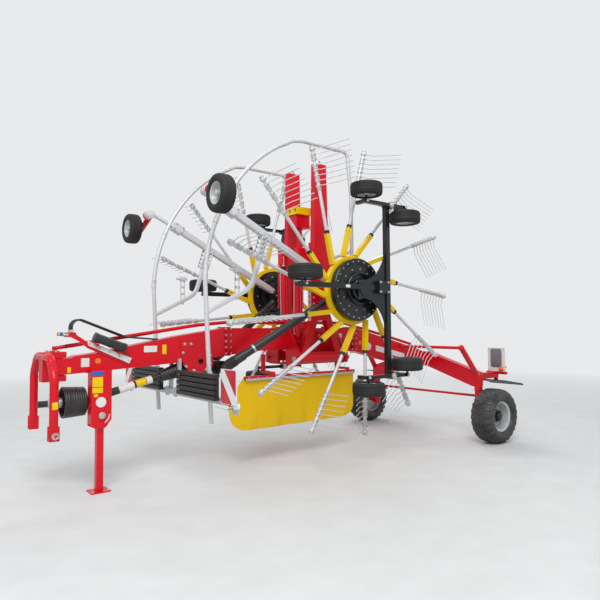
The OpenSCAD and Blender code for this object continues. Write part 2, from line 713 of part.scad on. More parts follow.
sensing_root = [tube_reach * cos(90 - tube_turn), tube_reach * sin(90 - tube_turn), hoop_z];
sensing_pivot = [2010, 1010, 60];
sensing_wheel_at = [2080, 880, arm_plane - small_side];

module sensing_fork() {
    color(red) folded() {
        translate(sensing_pivot + [0, 0, -60.3]) cylinder(h = 40, d = 110);
        bar_between(sensing_pivot + [-40, 0, -40], [sensing_wheel_at[0] - 125, sensing_wheel_at[1],
            sensing_wheel_at[2]], 80, 24);
        rod_between([sensing_wheel_at[0] - 130, sensing_wheel_at[1], sensing_wheel_at[2]],
            [sensing_wheel_at[0] + 45, sensing_wheel_at[1], sensing_wheel_at[2]], 30);
    }
}

module sensing_wheel() {
    folded() translate(sensing_wheel_at) rotate([0, 90, 0]) small_tyre();
}

module rotor_head() {
    color(yellow) folded() {
        difference() {
            translate([0, 0, -35]) cylinder(h = 70, r = 430, $fn = 96);
            translate([0, 0, -36]) cylinder(h = 72, r = 385, $fn = 96);
        }
        difference() {
            union() {
                translate([0, 0, -35]) cylinder(h = 16, r = 400, $fn = 96);
                translate([0, 0, -35]) cylinder(h = 85, r = 220, $fn = 72);
            }
            translate([0, 0, -60]) cylinder(h = 300, r = 118.3, $fn = 72);
        }
        for (i = [0 : arm_count - 1])
            rotate([0, 0, -first_arm_turn + i * 360 / arm_count])
                translate([arm_offset, 0, 0]) difference() {
                    translate([-socket_w / 2, arm_start, -socket_w / 2])
                        cube([socket_w, socket_end_y - arm_start, socket_w]);
                    translate([0, socket_end_y - 150, 0]) rotate([-90, 0, 0])
                        cylinder(h = 151, d = arm_tube_d, $fn = 24);
                }
    }
}

module tine_arms() {
    color(white) folded()
        for (i = [0 : arm_count - 1])
            rotate([0, 0, -first_arm_turn + i * 360 / arm_count])
                translate([arm_offset, 0, 0]) {
                    translate([0, socket_end_y - 150, 0]) rotate([-90, 0, 0])
                        cylinder(h = arm_tip_y - socket_end_y + 150, d = arm_tube_d, $fn = 16);
                    tine_set(tine_turns[i % len(tine_turns)]);
                }
}

tine_bend = 130;
tine_kink = 25;
clamp_d = 62;
clamp_w = 24;
module tine_set(turn) {
    for (k = [0 : 7])
        translate([0, arm_tip_y - 25 - k * tine_step, 0]) {
            // the clamp round the arm, and the tine that it holds
            translate([0, -clamp_w / 2, 0]) rotate([-90, 0, 0]) cylinder(h = clamp_w, d = clamp_d, $fn = 12);
            rotate([0, turn, 0]) {
                translate([0, 0, -tine_bend]) cylinder(h = tine_bend, d = tine_d, $fn = 6);
                translate([0, 0, -tine_bend]) rotate([0, 180 - tine_kink, 0])
                    translate([0, 0, -2]) cylinder(h = tine_length - tine_bend, d = tine_d, $fn = 6);
            }
        }
}

// DRIVE SHAFTS TO THE ROTORS
drive_root = [gearbox_x, 170.3 + 50, 1215];
drive_tip = [hub_x + 175, 640, hub_height - 110];
drive_ball = norm([175, 110]) - 150.3;
module drive_tube() {
    v = drive_tip - drive_root;
    color(black) difference() {
        union() {
            translate(drive_root) sphere(d = 100, $fn = 40);
            rod_between(drive_root, drive_root + v * 0.1, 60, 32);
            rod_between(drive_root + v * 0.07, drive_root + v * 0.17, 120, 32);
            rod_between(drive_root + v * 0.16, drive_root + v * 0.86, 100, 32);
        }
        rod_between(drive_root + v * 0.2, drive_tip, 70.6, 32);
    }
}
module drive_rod() {
    v = drive_tip - drive_root;
    color(black) {
        rod_between(drive_root + v * 0.22, drive_tip, 70, 32);
        rod_between(drive_root + v * 0.9, drive_root + v * 0.97, 96, 32);
        translate(drive_tip) sphere(r = drive_ball, $fn = 40);
    }
}

main_beam();
centre_frame();
mast_head();
axle_beam();
hose_guide();
hoses();
document_tube();
crossbar();
marker_boards();
lamps();
ribbed_guards();
pto_shaft();
gearbox();
mud_flaps();
curtain_bar();
swath_curtain();
headstock();
steering_rod();
tie_rod();
knuckle();  // knuckle_l
mirror([0, 1, 0]) knuckle();  // knuckle_r
rear_tyre();  // rear_tyre_l
mirror([0, 1, 0]) rear_tyre();  // rear_tyre_r
rear_rim();  // rear_rim_l
mirror([0, 1, 0]) rear_rim();  // rear_rim_r
stand_leg();
boom();  // boom_l
mirror([0, 1, 0]) boom();  // boom_r
lift_barrel();  // lift_barrel_l
mirror([0, 1, 0]) lift_barrel();  // lift_barrel_r
lift_rod();  // lift_rod_l
mirror([0, 1, 0]) lift_rod();  // lift_rod_r
carriage();  // carriage_l
mirror([0, 1, 0]) carriage();  // carriage_r
chassis();  // chassis_l
mirror([0, 1, 0]) chassis();  // chassis_r
guard();  // guard_l
mirror([0, 1, 0]) guard();  // guard_r
rotor_head();  // rotor_head_l
mirror([0, 1, 0]) rotor_head();  // rotor_head_r
tine_arms();  // tine_arms_l
mirror([0, 1, 0]) tine_arms();  // tine_arms_r
drive_tube();  // drive_tube_l
mirror([0, 1, 0]) drive_tube();  // drive_tube_r
drive_rod();  // drive_rod_l
mirror([0, 1, 0]) drive_rod();  // drive_rod_r
small_wheel(0);  // wheel_front_l
mirror([0, 1, 0]) small_wheel(0);  // wheel_front_r
small_wheel(1);  // wheel_outer_a_l
mirror([0, 1, 0]) small_wheel(1);  // wheel_outer_a_r
small_wheel(2);  // wheel_outer_b_l
mirror([0, 1, 0]) small_wheel(2);  // wheel_outer_b_r
small_wheel(3);  // wheel_inner_a_l
mirror([0, 1, 0]) small_wheel(3);  // wheel_inner_a_r
small_wheel(4);  // wheel_inner_b_l
mirror([0, 1, 0]) small_wheel(4);  // wheel_inner_b_r
sensing_fork();  // sensing_fork_l
mirror([0, 1, 0]) sensing_fork();  // sensing_fork_r
sensing_wheel();  // sensing_wheel_l
mirror([0, 1, 0]) sensing_wheel();  // sensing_wheel_r
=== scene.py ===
# %% [markdown]
# # A folded twin-rotor rake, dressed around its CAD frame
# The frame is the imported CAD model: every beam, tube and wheel already stands at its real place, in
# metres, with +X to the hitch, +Y to the machine's left and +Z up. This lesson adds what a camera
# sees close by: paint, tyre treads, spring coils, bellows, bolts, hoses and the swath cloth.

# %% Load the frame
import json
import bmesh
import bpy
import numpy as np
from mathutils import Matrix


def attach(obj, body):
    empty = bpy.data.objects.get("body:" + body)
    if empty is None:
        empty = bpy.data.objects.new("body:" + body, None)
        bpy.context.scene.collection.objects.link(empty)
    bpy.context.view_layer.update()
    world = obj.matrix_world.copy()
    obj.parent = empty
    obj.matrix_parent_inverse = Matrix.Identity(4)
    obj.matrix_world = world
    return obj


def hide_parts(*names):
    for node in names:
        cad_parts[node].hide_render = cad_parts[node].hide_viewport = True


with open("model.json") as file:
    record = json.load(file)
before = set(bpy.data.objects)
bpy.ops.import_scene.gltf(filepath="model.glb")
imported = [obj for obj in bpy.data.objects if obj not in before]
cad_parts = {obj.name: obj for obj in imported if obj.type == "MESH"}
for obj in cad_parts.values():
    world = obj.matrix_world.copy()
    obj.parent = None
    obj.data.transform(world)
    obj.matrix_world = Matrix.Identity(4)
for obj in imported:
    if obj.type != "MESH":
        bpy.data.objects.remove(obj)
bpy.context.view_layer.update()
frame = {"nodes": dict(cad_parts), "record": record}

# %% [markdown]
# ## The camera first
# The view is from the left front, 1.7 m above the ground. A camera could be moved by hand until the
# picture fits, but its place was worked out from lengths that are known on the machine, such as wheel
# size and folded height, so it is written in metres beside the machine. The picture is 600 by 600,
# and the focal length in pixels gives the lens for a 36 mm wide sensor.

# %% Camera
IMAGE_PX = 600
FOCAL_PX = 554.89
SENSOR_MM = 36.0
SEES_TO = 200                        # metres
AXLE_X = -2.640                      # the rear axle, from the middle of the machine's box
CAMERA_PLACE = np.array([7.192 + AXLE_X, 6.087, 1.679])
HEADING, PITCH, ROLL = 0.6524, 0.0506, 0.0065


def camera_axes(heading, pitch, roll):
    """Right, up and back vectors. The view runs along (-sin h, -cos h), is lifted by the pitch and
    then rolled. Angles are in radians, the heading from straight across the machine."""
    right = np.array([-np.cos(heading), np.sin(heading), 0.0])
    ahead = np.array([-np.sin(heading) * np.cos(pitch), -np.cos(heading) * np.cos(pitch),
                      np.sin(pitch)])
    up = np.cross(right, ahead)
    return (np.cos(roll) * right - np.sin(roll) * up, np.sin(roll) * right + np.cos(roll) * up,
            -ahead)


camera_data = bpy.data.cameras.new("camera")
camera_data.sensor_width = SENSOR_MM
camera_data.lens = SENSOR_MM * FOCAL_PX / IMAGE_PX
camera_data.clip_end = SEES_TO
camera = bpy.data.objects.new("camera", camera_data)
bpy.context.collection.objects.link(camera)
basis = np.eye(4)
basis[:3, :3] = np.array(camera_axes(HEADING, PITCH, ROLL)).T
basis[:3, 3] = CAMERA_PLACE
camera.matrix_world = Matrix(basis.tolist())
bpy.context.scene.camera = camera
print("lens", round(camera_data.lens, 2), "mm")

# %% [markdown]
# ## Meshes as arrays
# Every new surface here is a grid of points: a profile turned about an axis, or a section carried
# along a path. Modifiers could do both, but whole arrays are quick, and one formula then says what the
# shape is. Points on the machine are measured in millimetres from the rear axle, as on a drawing.

# %% Points, grids and frames
AHEAD, LEFT, UP = (1, 0, 0), (0, 1, 0), (0, 0, 1)
BACK, RIGHT, DOWN = (-1, 0, 0), (0, -1, 0), (0, 0, -1)
TO_THE_RIGHT = np.array([1, -1, 1])
SLANT = (0.31, 0.17, 0.93)           # lies along none of the machine's own directions


def row(ahead, side, height):
    """A point in metres from its distances in millimetres ahead of the rear axle, to the left, and up."""
    return np.array([AXLE_X + ahead / 1000, side / 1000, height / 1000])


def grid_faces(rows, cols, close_rows=False, close_cols=True):
    """Quads between neighbouring points of a rows by cols grid, which may wrap round either way."""
    r = np.arange(rows if close_rows else rows - 1)
    c = np.arange(cols if close_cols else cols - 1)
    r, c = np.meshgrid(r, c, indexing="ij")
    r2, c2 = (r + 1) % rows, (c + 1) % cols
    return np.stack([r * cols + c, r * cols + c2, r2 * cols + c2, r2 * cols + c], -1).reshape(-1, 4)


def placed(origins, z, x_hint=SLANT):
    """4 by 4 matrices at each origin, with the third axis along z and the first leaning to x_hint,
    or square to both z and X where the hint lies along z."""
    origins = np.atleast_2d(np.asarray(origins, float))
    z = np.broadcast_to(np.atleast_2d(np.asarray(z, float)), origins.shape)
    z = z / np.linalg.norm(z, axis=1, keepdims=True)
    hint = np.broadcast_to(np.asarray(x_hint, float), z.shape)
    x = hint - (hint * z).sum(1, keepdims=True) * z
    x = np.where(np.linalg.norm(x, axis=1, keepdims=True) > 1e-6, x, np.cross(z, AHEAD))
    x = x / np.linalg.norm(x, axis=1, keepdims=True)
    m = np.zeros((len(origins), 4, 4))
    m[:, :3, 0], m[:, :3, 1], m[:, :3, 2], m[:, :3, 3] = x, np.cross(z, x), z, origins
    m[:, 3, 3] = 1
    return m


def moved(mesh, matrix):
    """The mesh after one 4 by 4 matrix: p' = R p + t."""
    matrix = np.asarray(matrix, float)
    return np.asarray(mesh[0]) @ matrix[:3, :3].T + matrix[:3, 3], mesh[1]


def copies(mesh, matrices):
    """One mesh of the same small shape set down by each 4 by 4 matrix."""
    points, faces = mesh
    matrices = np.asarray(matrices, float)
    points = np.einsum("kij,nj->kni", matrices[:, :3, :3], points) + matrices[:, None, :3, 3]
    step = np.arange(len(matrices))[:, None, None] * len(mesh[0])
    return points.reshape(-1, 3), (np.asarray(faces)[None] + step).reshape(-1, np.shape(faces)[1])


def joined(*meshes):
    """Several (points, faces) pairs as one."""
    starts = np.cumsum([0] + [len(points) for points, _ in meshes[:-1]])
    return (np.vstack([points for points, _ in meshes]),
            np.vstack([np.asarray(faces) + start for (_, faces), start in zip(meshes, starts)]))


def mirrored(mesh):
    """The same mesh on the machine's right, with its faces turned so they still look outwards."""
    return np.asarray(mesh[0]) * TO_THE_RIGHT, np.asarray(mesh[1])[:, ::-1]


print("rear axle at", row(0, 0, 0).round(3))

# %% [markdown]
# Wheels, bolts, bellows and covers are lathe work, so a profile of (radius, height) rows is turned
# about an axis. Hoses and guard tubes are bent stock: a section is carried along a line, square to it
# at each point. Sheet metal is a plate with round corners and a slight bevel that catches the light.

# %% Turned, carried and flat shapes
POLE_R = 1e-5                        # metres, for the last ring of a round end
POLE_SHARE = 1e-4                    # of the outline's size, for the last ring of a flat end
PLATE_POINTS = 32


def turned_section(profile, sides, closed):
    """A grid of points: a row for each point of the profile, a column for each step round the circle."""
    a = np.linspace(0, 2 * np.pi, sides, endpoint=False)
    r, h = profile[:, :1], profile[:, 1:]
    pts = np.stack([r * np.cos(a), r * np.sin(a), np.broadcast_to(h, (len(profile), sides))], -1)
    return pts.reshape(-1, 3), grid_faces(len(profile), sides, closed)


def revolve(profile, sides):
    """Turns (radius, height) rows about +Z, x = r cos a and y = r sin a, and closes both ends."""
    profile = np.asarray(profile, float)
    profile = np.vstack([[POLE_R, profile[0, 1]], profile, [POLE_R, profile[-1, 1]]])
    return turned_section(profile, sides, False)


def ring(profile, sides):
    """Turns a closed (radius, height) outline about +Z, as for a tyre, a rim or a collar."""
    return turned_section(np.asarray(profile, float), sides, True)


def smooth_line(points, count):
    """Catmull-Rom curve: between two points the cubic whose end slopes are half the step of their
    neighbours."""
    p = np.asarray(points, float)
    q = np.vstack([2 * p[0] - p[1], p, 2 * p[-1] - p[-2]])
    t = np.linspace(0, len(p) - 1, count)
    i = np.minimum(t.astype(int), len(p) - 2)
    f = (t - i)[:, None]
    a, b, c, d = q[i], q[i + 1], q[i + 2], q[i + 3]
    return 0.5 * (2 * b + (c - a) * f + (2 * a - 5 * b + 4 * c - d) * f ** 2
                  + (3 * b - a - 3 * c + d) * f ** 3)


def carried(path, outline, sizes, hint, end_size):
    """An outline, of one size or one per point, carried along a path and closed at both ends. Each
    copy lies across the direction from the point before to the point after."""
    path = np.asarray(path, float)
    turns = placed(path, np.gradient(path, axis=0), hint)[:, :3, :3]
    sizes = np.broadcast_to(np.asarray(sizes, float), (len(path),))
    path = np.vstack([path[:1], path, path[-1:]])
    turns = np.concatenate([turns[:1], turns, turns[-1:]])
    sizes = np.concatenate([[end_size], sizes, [end_size]])
    pts = path[:, None] + np.einsum("kij,nj->kni", turns, outline) * sizes[:, None, None]
    return pts.reshape(-1, 3), grid_faces(len(path), len(outline))


def tube(path, radius, sides=12, hint=UP):
    """A round section, of one radius or one per point, carried along a path."""
    a = np.linspace(0, 2 * np.pi, sides, endpoint=False)
    return carried(path, np.stack([np.cos(a), np.sin(a), 0 * a], -1), radius, hint, POLE_R)


def rounded(width, height, corner, count):
    """A rectangle with round corners: a circle of the corner's radius, its quarters pushed outwards."""
    a = (np.arange(count) + 0.5) * 2 * np.pi / count
    return (corner * np.cos(a) + np.sign(np.cos(a)) * (width / 2 - corner),
            corner * np.sin(a) + np.sign(np.sin(a)) * (height / 2 - corner))


def plate(width, height, corner, thickness):
    """A plate with round corners in the XY plane, from z = 0 up, with a slight bevel on its top rim."""
    x, y = rounded(width, height, corner, PLATE_POINTS)
    edge = min(thickness / 3, corner / 2)
    scale = 1 - edge * 2 / min(width, height)
    rings = [(POLE_SHARE, 0), (1, 0), (1, thickness - edge), (scale, thickness),
             (POLE_SHARE, thickness)]
    pts = np.stack([np.stack([x * s, y * s, np.full(PLATE_POINTS, z)], -1) for s, z in rings])
    return pts.reshape(-1, 3), grid_faces(len(rings), PLATE_POINTS)


def plate_at(size, place, facing, along=LEFT):
    """A plate of (width, height, corner, thickness) at a place. Its width lies along, and it is built
    up towards facing."""
    return moved(plate(*size), placed(place, facing, along)[0])


print("faces of one plate", len(plate(0.1, 0.1, 0.01, 0.005)[1]))

# %% [markdown]
# One function hands the arrays to Blender, closes the tiny last rings, and says which CAD body the
# piece moves with. Most pieces have a twin on the machine's right, so a second one makes both.

# %% Pieces on their bodies
SAME_POINT = 1e-4                    # metres


def piece(name, mesh, material, body, crease_deg=35):
    """Makes a Blender object at the origin from (points, faces) and rides it on a CAD body.
    The mesh is turned inside out if the sum of its corner volumes, v0 . (v1 x v2), is negative.
    Points that lie within a tenth of a millimetre, as in the last ring of a pole, become one."""
    points, faces = np.asarray(mesh[0], float), np.asarray(mesh[1])
    assert np.isfinite(points).all(), name
    centred = points - points.mean(0)
    v0, v1, v2, v3 = (centred[faces[:, k]] for k in range(4))
    volume = (v0 * np.cross(v1, v2)).sum() + (v0 * np.cross(v2, v3)).sum()
    faces = faces if volume >= 0 else faces[:, ::-1]
    data = bpy.data.meshes.new(name)
    data.from_pydata(points.tolist(), [], faces.tolist())
    shape = bmesh.new()
    shape.from_mesh(data)
    bmesh.ops.remove_doubles(shape, verts=shape.verts, dist=SAME_POINT)
    shape.to_mesh(data)
    shape.free()
    data.update()
    data.shade_smooth()
    data.set_sharp_from_angle(angle=np.radians(crease_deg))
    data.materials.append(material)
    made = bpy.data.objects.new(name, data)
    bpy.context.collection.objects.link(made)
    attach(made, body)
    return made


def both(name, mesh, material, body, crease_deg=35):
    """The piece on the left and its mirror image on the right. A star in body stands for l or r."""
    left = piece(name + "_l", mesh, material, body.replace("*", "l"), crease_deg)
    right = piece(name + "_r", mirrored(mesh), material, body.replace("*", "r"), crease_deg)
    return left, right


def both_replace(pair, node):
    """The pair takes the place of the CAD nodes of that name, left and right."""
    for made, letter in zip(pair, "lr"):
        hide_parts(f"{node}_{letter}")


# %% [markdown]
# ## Finishes
# Farm paint is glossy when new, with a thin even film of dust that dulls its shine in patches. Each
# finish could be set up by hand in the shader editor, but written out it can be shared and compared.
# All the patterns read Object coordinates, so they stay fixed on each piece when it moves. A small
# wrapper makes node graphs read like sums, and every other node is made by one method.

# %% Wires, node graphs and finishes


class Wire:
    """One socket of a node graph. Sums, differences and products of wires make Math nodes."""

    def __init__(self, graph, socket):
        self.graph, self.socket = graph, socket

    def math(self, operation, *values, clamp=False):
        """The wire that a Math node gives for these values."""
        return self.graph.node("ShaderNodeMath", {"operation": operation, "use_clamp": clamp},
                               dict(enumerate(values)))

    def __add__(self, other): return self.math("ADD", self, other)

    def __radd__(self, other): return self.math("ADD", other, self)

    def __sub__(self, other): return self.math("SUBTRACT", self, other)

    def __rsub__(self, other): return self.math("SUBTRACT", other, self)

    def __mul__(self, other): return self.math("MULTIPLY", self, other)

    def __rmul__(self, other): return self.math("MULTIPLY", other, self)

    def __abs__(self): return self.math("ABSOLUTE", self)

    def __gt__(self, level): return self.math("GREATER_THAN", self, level)

    def larger(self, other): return self.math("MAXIMUM", self, other)

    def sine(self): return self.math("SINE", self)

    def clamped(self): return self.math("ADD", self, 0.0, clamp=True)


class Graph:
    """A node tree, written through one method."""

    def __init__(self, tree):
        self.tree = tree

    def feed(self, value, socket):
        """Links a wire to a socket, or writes a plain value into it."""
        if isinstance(value, Wire):
            self.tree.links.new(value.socket, socket)
        else:
            socket.default_value = value

    def node(self, kind, settings, sockets, output=0):
        """A node of any kind: its settings are set first, then each socket takes a value or a link."""
        made = self.tree.nodes.new(kind)
        for key, value in settings.items():
            setattr(made, key, value)
        for key, value in sockets.items():
            self.feed(value, made.inputs[key])
        return Wire(self, made.outputs[output])


class Finish(Graph):
    """A Principled material that is written socket by socket."""

    def __init__(self, name, color, roughness, metallic=0.0, coat=0.0, specular=0.5):
        self.material = bpy.data.materials.new(name)
        self.material.use_nodes = True
        super().__init__(self.material.node_tree)
        self.shader = self.tree.nodes["Principled BSDF"]
        plain = {"Base Color": (*color, 1), "Roughness": roughness, "Metallic": metallic,
                 "Coat Weight": coat, "Coat Roughness": 0.08, "Specular IOR Level": specular}
        for socket, value in plain.items():
            self.feed(value, self.shader.inputs[socket])
        self.place = self.node("ShaderNodeTexCoord", {}, {}, "Object")

    def noise(self, scale, detail=3.0):
        """A noise from 0 to 1 in the piece's own coordinates, with scale cells a metre."""
        return self.node("ShaderNodeTexNoise", {},
                         {"Scale": scale, "Detail": detail, "Vector": self.place}, "Fac")

    def axis(self, letter):
        """One coordinate of the piece, in metres."""
        return self.node("ShaderNodeSeparateXYZ", {}, {0: self.place}, letter)

    def blend(self, factor, first, second):
        """The first colour where the factor is 0 and the second where it is 1."""
        first = first if isinstance(first, Wire) else (*first, 1)
        second = second if isinstance(second, Wire) else (*second, 1)
        return self.node("ShaderNodeMix", {"data_type": "RGBA"},
                         {"Factor": factor, 6: first, 7: second}, 2)

    def color(self, wire): self.feed(wire, self.shader.inputs["Base Color"])

    def rough(self, wire): self.feed(wire, self.shader.inputs["Roughness"])

    def bump(self, height, strength, distance):
        """Tilts the shading as if the skin rose by height times distance."""
        raised = self.node("ShaderNodeBump", {},
                           {"Height": height, "Strength": strength, "Distance": distance})
        self.feed(raised, self.shader.inputs["Normal"])


# %% [markdown]
# ## Paint, rubber and metal
# Powder paint has a fine orange-peel skin, and road dust settles on it in soft patches and thin specks.
# Rubber is dull and greyer where it is dusty, and on the rear tyres its lighter tone is partly a painted
# sheen. Zinc has grains of slightly different grey. Each finish is one function of a colour, so that all
# the paints of the machine share the same skin.

# %% Finish recipes


def paint(name, color, dusty, gloss=0.30, coat=0.10, dust=0.12):
    """Gloss paint: a slow change of tone, then dust in soft patches and specks, and orange peel."""
    finish = Finish(name, color, gloss, coat=coat, specular=0.28)
    patches, specks = finish.noise(2.3, 5.0), finish.noise(55.0, 4.0)
    film = ((patches * 1.7 - 0.6).clamped() * dust + (specks * 3.0 - 1.9).clamped() * 0.18).clamped()
    deep, bright = tuple(0.84 * c for c in color), tuple(1.06 * c for c in color)
    finish.color(finish.blend(film, finish.blend(finish.noise(0.9, 2.0), deep, bright), dusty))
    finish.rough(film * 0.35 + gloss)
    finish.bump(finish.noise(240.0, 1.0), 0.06, 0.001)
    return finish.material


def rubber(name, color, dusty, rough=0.74):
    """Dull rubber: dust lies in soft patches over a fine grain. Where the colours are set light, as on
    the rear tyres, the tone and the patches are partly a painted sheen.
    """
    finish = Finish(name, color, rough)
    film = (finish.noise(6.0, 6.0) * 1.9 - 0.62).clamped()
    finish.color(finish.blend(film, color, dusty))
    finish.rough(film * 0.14 + (rough - 0.05))
    finish.bump(finish.noise(160.0), 0.2, 0.002)
    return finish.material


def zinc(name, dark, light, metallic, rough, grain=60.0):
    """Galvanised steel: grains of lighter and darker zinc, each with its own shine, under soft clouds."""
    finish = Finish(name, light, rough, metallic=metallic)
    grains = finish.node("ShaderNodeTexVoronoi", {}, {"Scale": grain, "Vector": finish.place},
                         "Distance")
    cloud = finish.noise(4.0, 4.0)
    finish.color(finish.blend((grains * 0.9 + cloud * 0.7 - 0.15).clamped(), dark, light))
    finish.rough(grains * 0.25 + (rough - 0.06))
    finish.bump(finish.noise(120.0, 2.0), 0.1, 0.001)
    return finish.material


def lens(name, color, dark):
    """A moulded lamp lens: fine upright ribs darken its colour and ripple its skin."""
    finish = Finish(name, color, 0.16, coat=0.6)
    ribs = (finish.axis("Y") * 900.0).sine() * 0.5 + 0.5
    finish.color(finish.blend(ribs * 0.5, color, dark))
    finish.bump(ribs, 0.3, 0.001)
    return finish.material


# %% Paints and metals
RED = (0.68, 0.0015, 0.012)
YELLOW = (0.86, 0.56, 0.0)
WHITE = (0.76, 0.76, 0.74)
BLACK = (0.010, 0.011, 0.013)
red_paint = paint("red_paint", RED, (0.42, 0.030, 0.034))
yellow_paint = paint("yellow_paint", YELLOW, (0.76, 0.48, 0.06))
white_paint = paint("white_paint", WHITE, (0.55, 0.54, 0.50), gloss=0.36, coat=0.15)
black_paint = paint("black_paint", BLACK, (0.050, 0.048, 0.044), gloss=0.30, coat=0.30)
silver_paint = paint("silver_paint", (0.50, 0.51, 0.52), (0.36, 0.35, 0.32), gloss=0.32, coat=0.3,
                     dust=0.5)
tube_zinc = zinc("tube_zinc", (0.47, 0.48, 0.49), (0.66, 0.67, 0.68), 0.20, 0.36, 140.0)
galvanised = zinc("galvanised", (0.36, 0.38, 0.40), (0.60, 0.62, 0.63), 0.80, 0.40)
spring_steel = zinc("spring_steel", (0.42, 0.42, 0.41), (0.64, 0.64, 0.63), 0.35, 0.35)
bolt_steel = zinc("bolt_steel", (0.40, 0.40, 0.39), (0.62, 0.62, 0.60), 0.85, 0.34)
chrome = zinc("chromed_rod", (0.70, 0.70, 0.72), (0.82, 0.82, 0.83), 1.0, 0.16)
tyre_rubber = rubber("tyre_rubber", (0.007, 0.007, 0.008), (0.022, 0.021, 0.020))
# rear tyre rubber: the lighter base and dusty colours are partly dust and partly a painted sheen of wet
# highlights on the lugs
road_rubber_dust_and_sheen = rubber("road_rubber_dust_and_sheen", (0.017, 0.017, 0.018), (0.085, 0.082, 0.076), rough=0.52)
hose_rubber = rubber("hose_rubber", (0.010, 0.010, 0.011), (0.030, 0.029, 0.028), rough=0.5)
black_plastic = rubber("black_plastic", (0.012, 0.012, 0.014), (0.040, 0.039, 0.037), rough=0.42)
amber_lens = lens("amber_lens", (0.90, 0.22, 0.01), (0.55, 0.10, 0.005))
red_lens = lens("red_lens", (0.55, 0.01, 0.01), (0.25, 0.004, 0.004))
white_lens = lens("white_lens", (0.85, 0.86, 0.86), (0.60, 0.62, 0.63))
grey_board = paint("grey_board", (0.17, 0.18, 0.19), (0.28, 0.28, 0.27), gloss=0.45, coat=0.0)
blue_paint = paint("blue_sticker", (0.03, 0.13, 0.42), (0.10, 0.18, 0.38), coat=0.2)
orange_paint = paint("orange_reflector", (0.85, 0.20, 0.01), (0.60, 0.20, 0.05), coat=0.6)
print("materials", len(bpy.data.materials))

# %% [markdown]
# ## Paint the CAD nodes
# The record names a material slot for every CAD node. Each node could be painted by itself, but each
# slot gets one finish, so the parts that are sprayed together on the real machine share a paint here.
# The slot named white_paint belongs to the pale guard tubes, which are zinc when seen close by.

# %% Slots
FINISH_OF_SLOT = {"red_paint": red_paint, "yellow_paint": yellow_paint, "white_paint": tube_zinc,
                  "black_paint": black_paint, "galvanised": galvanised, "chromed_rod": chrome,
                  "silver_rim": silver_paint, "tyre": tyre_rubber, "black_rubber": hose_rubber,
                  "black_plastic": black_plastic, "board": white_paint, "lens": amber_lens,
                  "curtain_cloth": yellow_paint}
for part in frame["record"]["subparts"]:
    node = frame["nodes"][part["node"]]
    node.data.materials.clear()
    node.data.materials.append(FINISH_OF_SLOT[part["material_slot"]])

# %% [markdown]
# ## Hydraulic hoses over the drawbar
# Five rubber hoses leave the guide head at the front, bend back in one loose arch and lie along the
# drawbar, where they go in under its clamps. Their route is the one the solids have: straight runs
# joined by arcs no tighter than four and a half hose widths. A curve with a bevel would do too, but a
# round section carried along that route gives the length and the mesh from the same points.

# %% Hoses
HOSE_D = 0.018
HOSE_BEND = 0.082
HOSE_CORNERS = np.array([[5575, 1650.3], [5575, 1820.7], [5000, 1593.1], [4640, 1562.3]])
HOSE_SIDES = (-33, -6, 21, 48, 75)


def bent_line(corners, radius, arc_points, straight_points):
    """Straight runs joined by arcs. An arc of turn t starts r tan(t / 2) before its corner, and its
    centre lies r to the inner side of the run."""
    runs = np.diff(corners, axis=0)
    runs = runs / np.linalg.norm(runs, axis=1, keepdims=True)
    line, last = [], corners[0]
    for k in range(1, len(corners) - 1):
        u, v = runs[k - 1], runs[k]
        t = np.arctan2(u[0] * v[1] - u[1] * v[0], u @ v)
        trim = radius * np.tan(abs(t) / 2)
        start, end = corners[k] - trim * u, corners[k] + trim * v
        side = np.sign(t) * np.array([-u[1], u[0]])
        centre = start + side * radius
        a = np.linspace(0, abs(t), arc_points)[:, None]
        steps = np.linspace(0, 1, straight_points, endpoint=False)[:, None]
        line += [last + (start - last) * steps,
                 centre - side * radius * np.cos(a) + u * radius * np.sin(a)]
        last = end
    line.append(last + (corners[-1] - last) * np.linspace(0, 1, straight_points)[1:, None])
    return np.vstack(line)


hose_line = bent_line(HOSE_CORNERS / 1000, HOSE_BEND, 11, 6)
for number, side in enumerate(HOSE_SIDES):
    path = np.stack([hose_line[:, 0] + AXLE_X, np.full(len(hose_line), side / 1000),
                     hose_line[:, 1]], -1)
    hose = piece(f"hose_{number}", tube(path, HOSE_D / 2, 12, LEFT), hose_rubber, "frame",
                 60)
    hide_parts("hoses")

# %% [markdown]
# ## Hex bolts
# A bolt head is a washer with a six-sided prism on it. Modelled threads would never show, so both are
# turned from short profiles, and the same few dozen faces are set down wherever the machine is bolted.

# %% Bolt helpers


def bolt_head(width):
    """A washer of radius 0.66 w and a hexagon of radius 0.58 w with a bevelled top."""
    washer = revolve([(0.66 * width, 0), (0.66 * width, 0.12 * width)], 12)
    hexagon = revolve([(0.58 * width, 0.12 * width), (0.58 * width, 0.62 * width),
                       (0.48 * width, 0.72 * width)], 6)
    return joined(washer, hexagon)


def bolts(width, places, axis):
    """A bolt head at each place, looking along the axis."""
    return copies(bolt_head(width), placed(places, axis))


def circle_of(radius, count, height, turn=0.0):
    """Points of a bolt circle about +Z."""
    a = np.linspace(0, 2 * np.pi, count, endpoint=False) + turn
    return np.stack([radius * np.cos(a), radius * np.sin(a), np.full(count, height)], -1)


def steel_bolts(name, mesh, body):
    """Bright bolts and nuts on both sides of the machine."""
    return both(name, mesh, bolt_steel, body)


print("faces of one bolt", len(bolt_head(0.020)[1]))

# %% [markdown]
# ## Rear tyres
# The carrying tyres are wide flotation tyres: zigzag centre ribs, and blocks on the shoulders. Blocks
# could be separate solids, but the real tyre is one skin. So the tyre's section is turned about the
# axle, and the depth at each point is a function of the angle and the place across the tread.

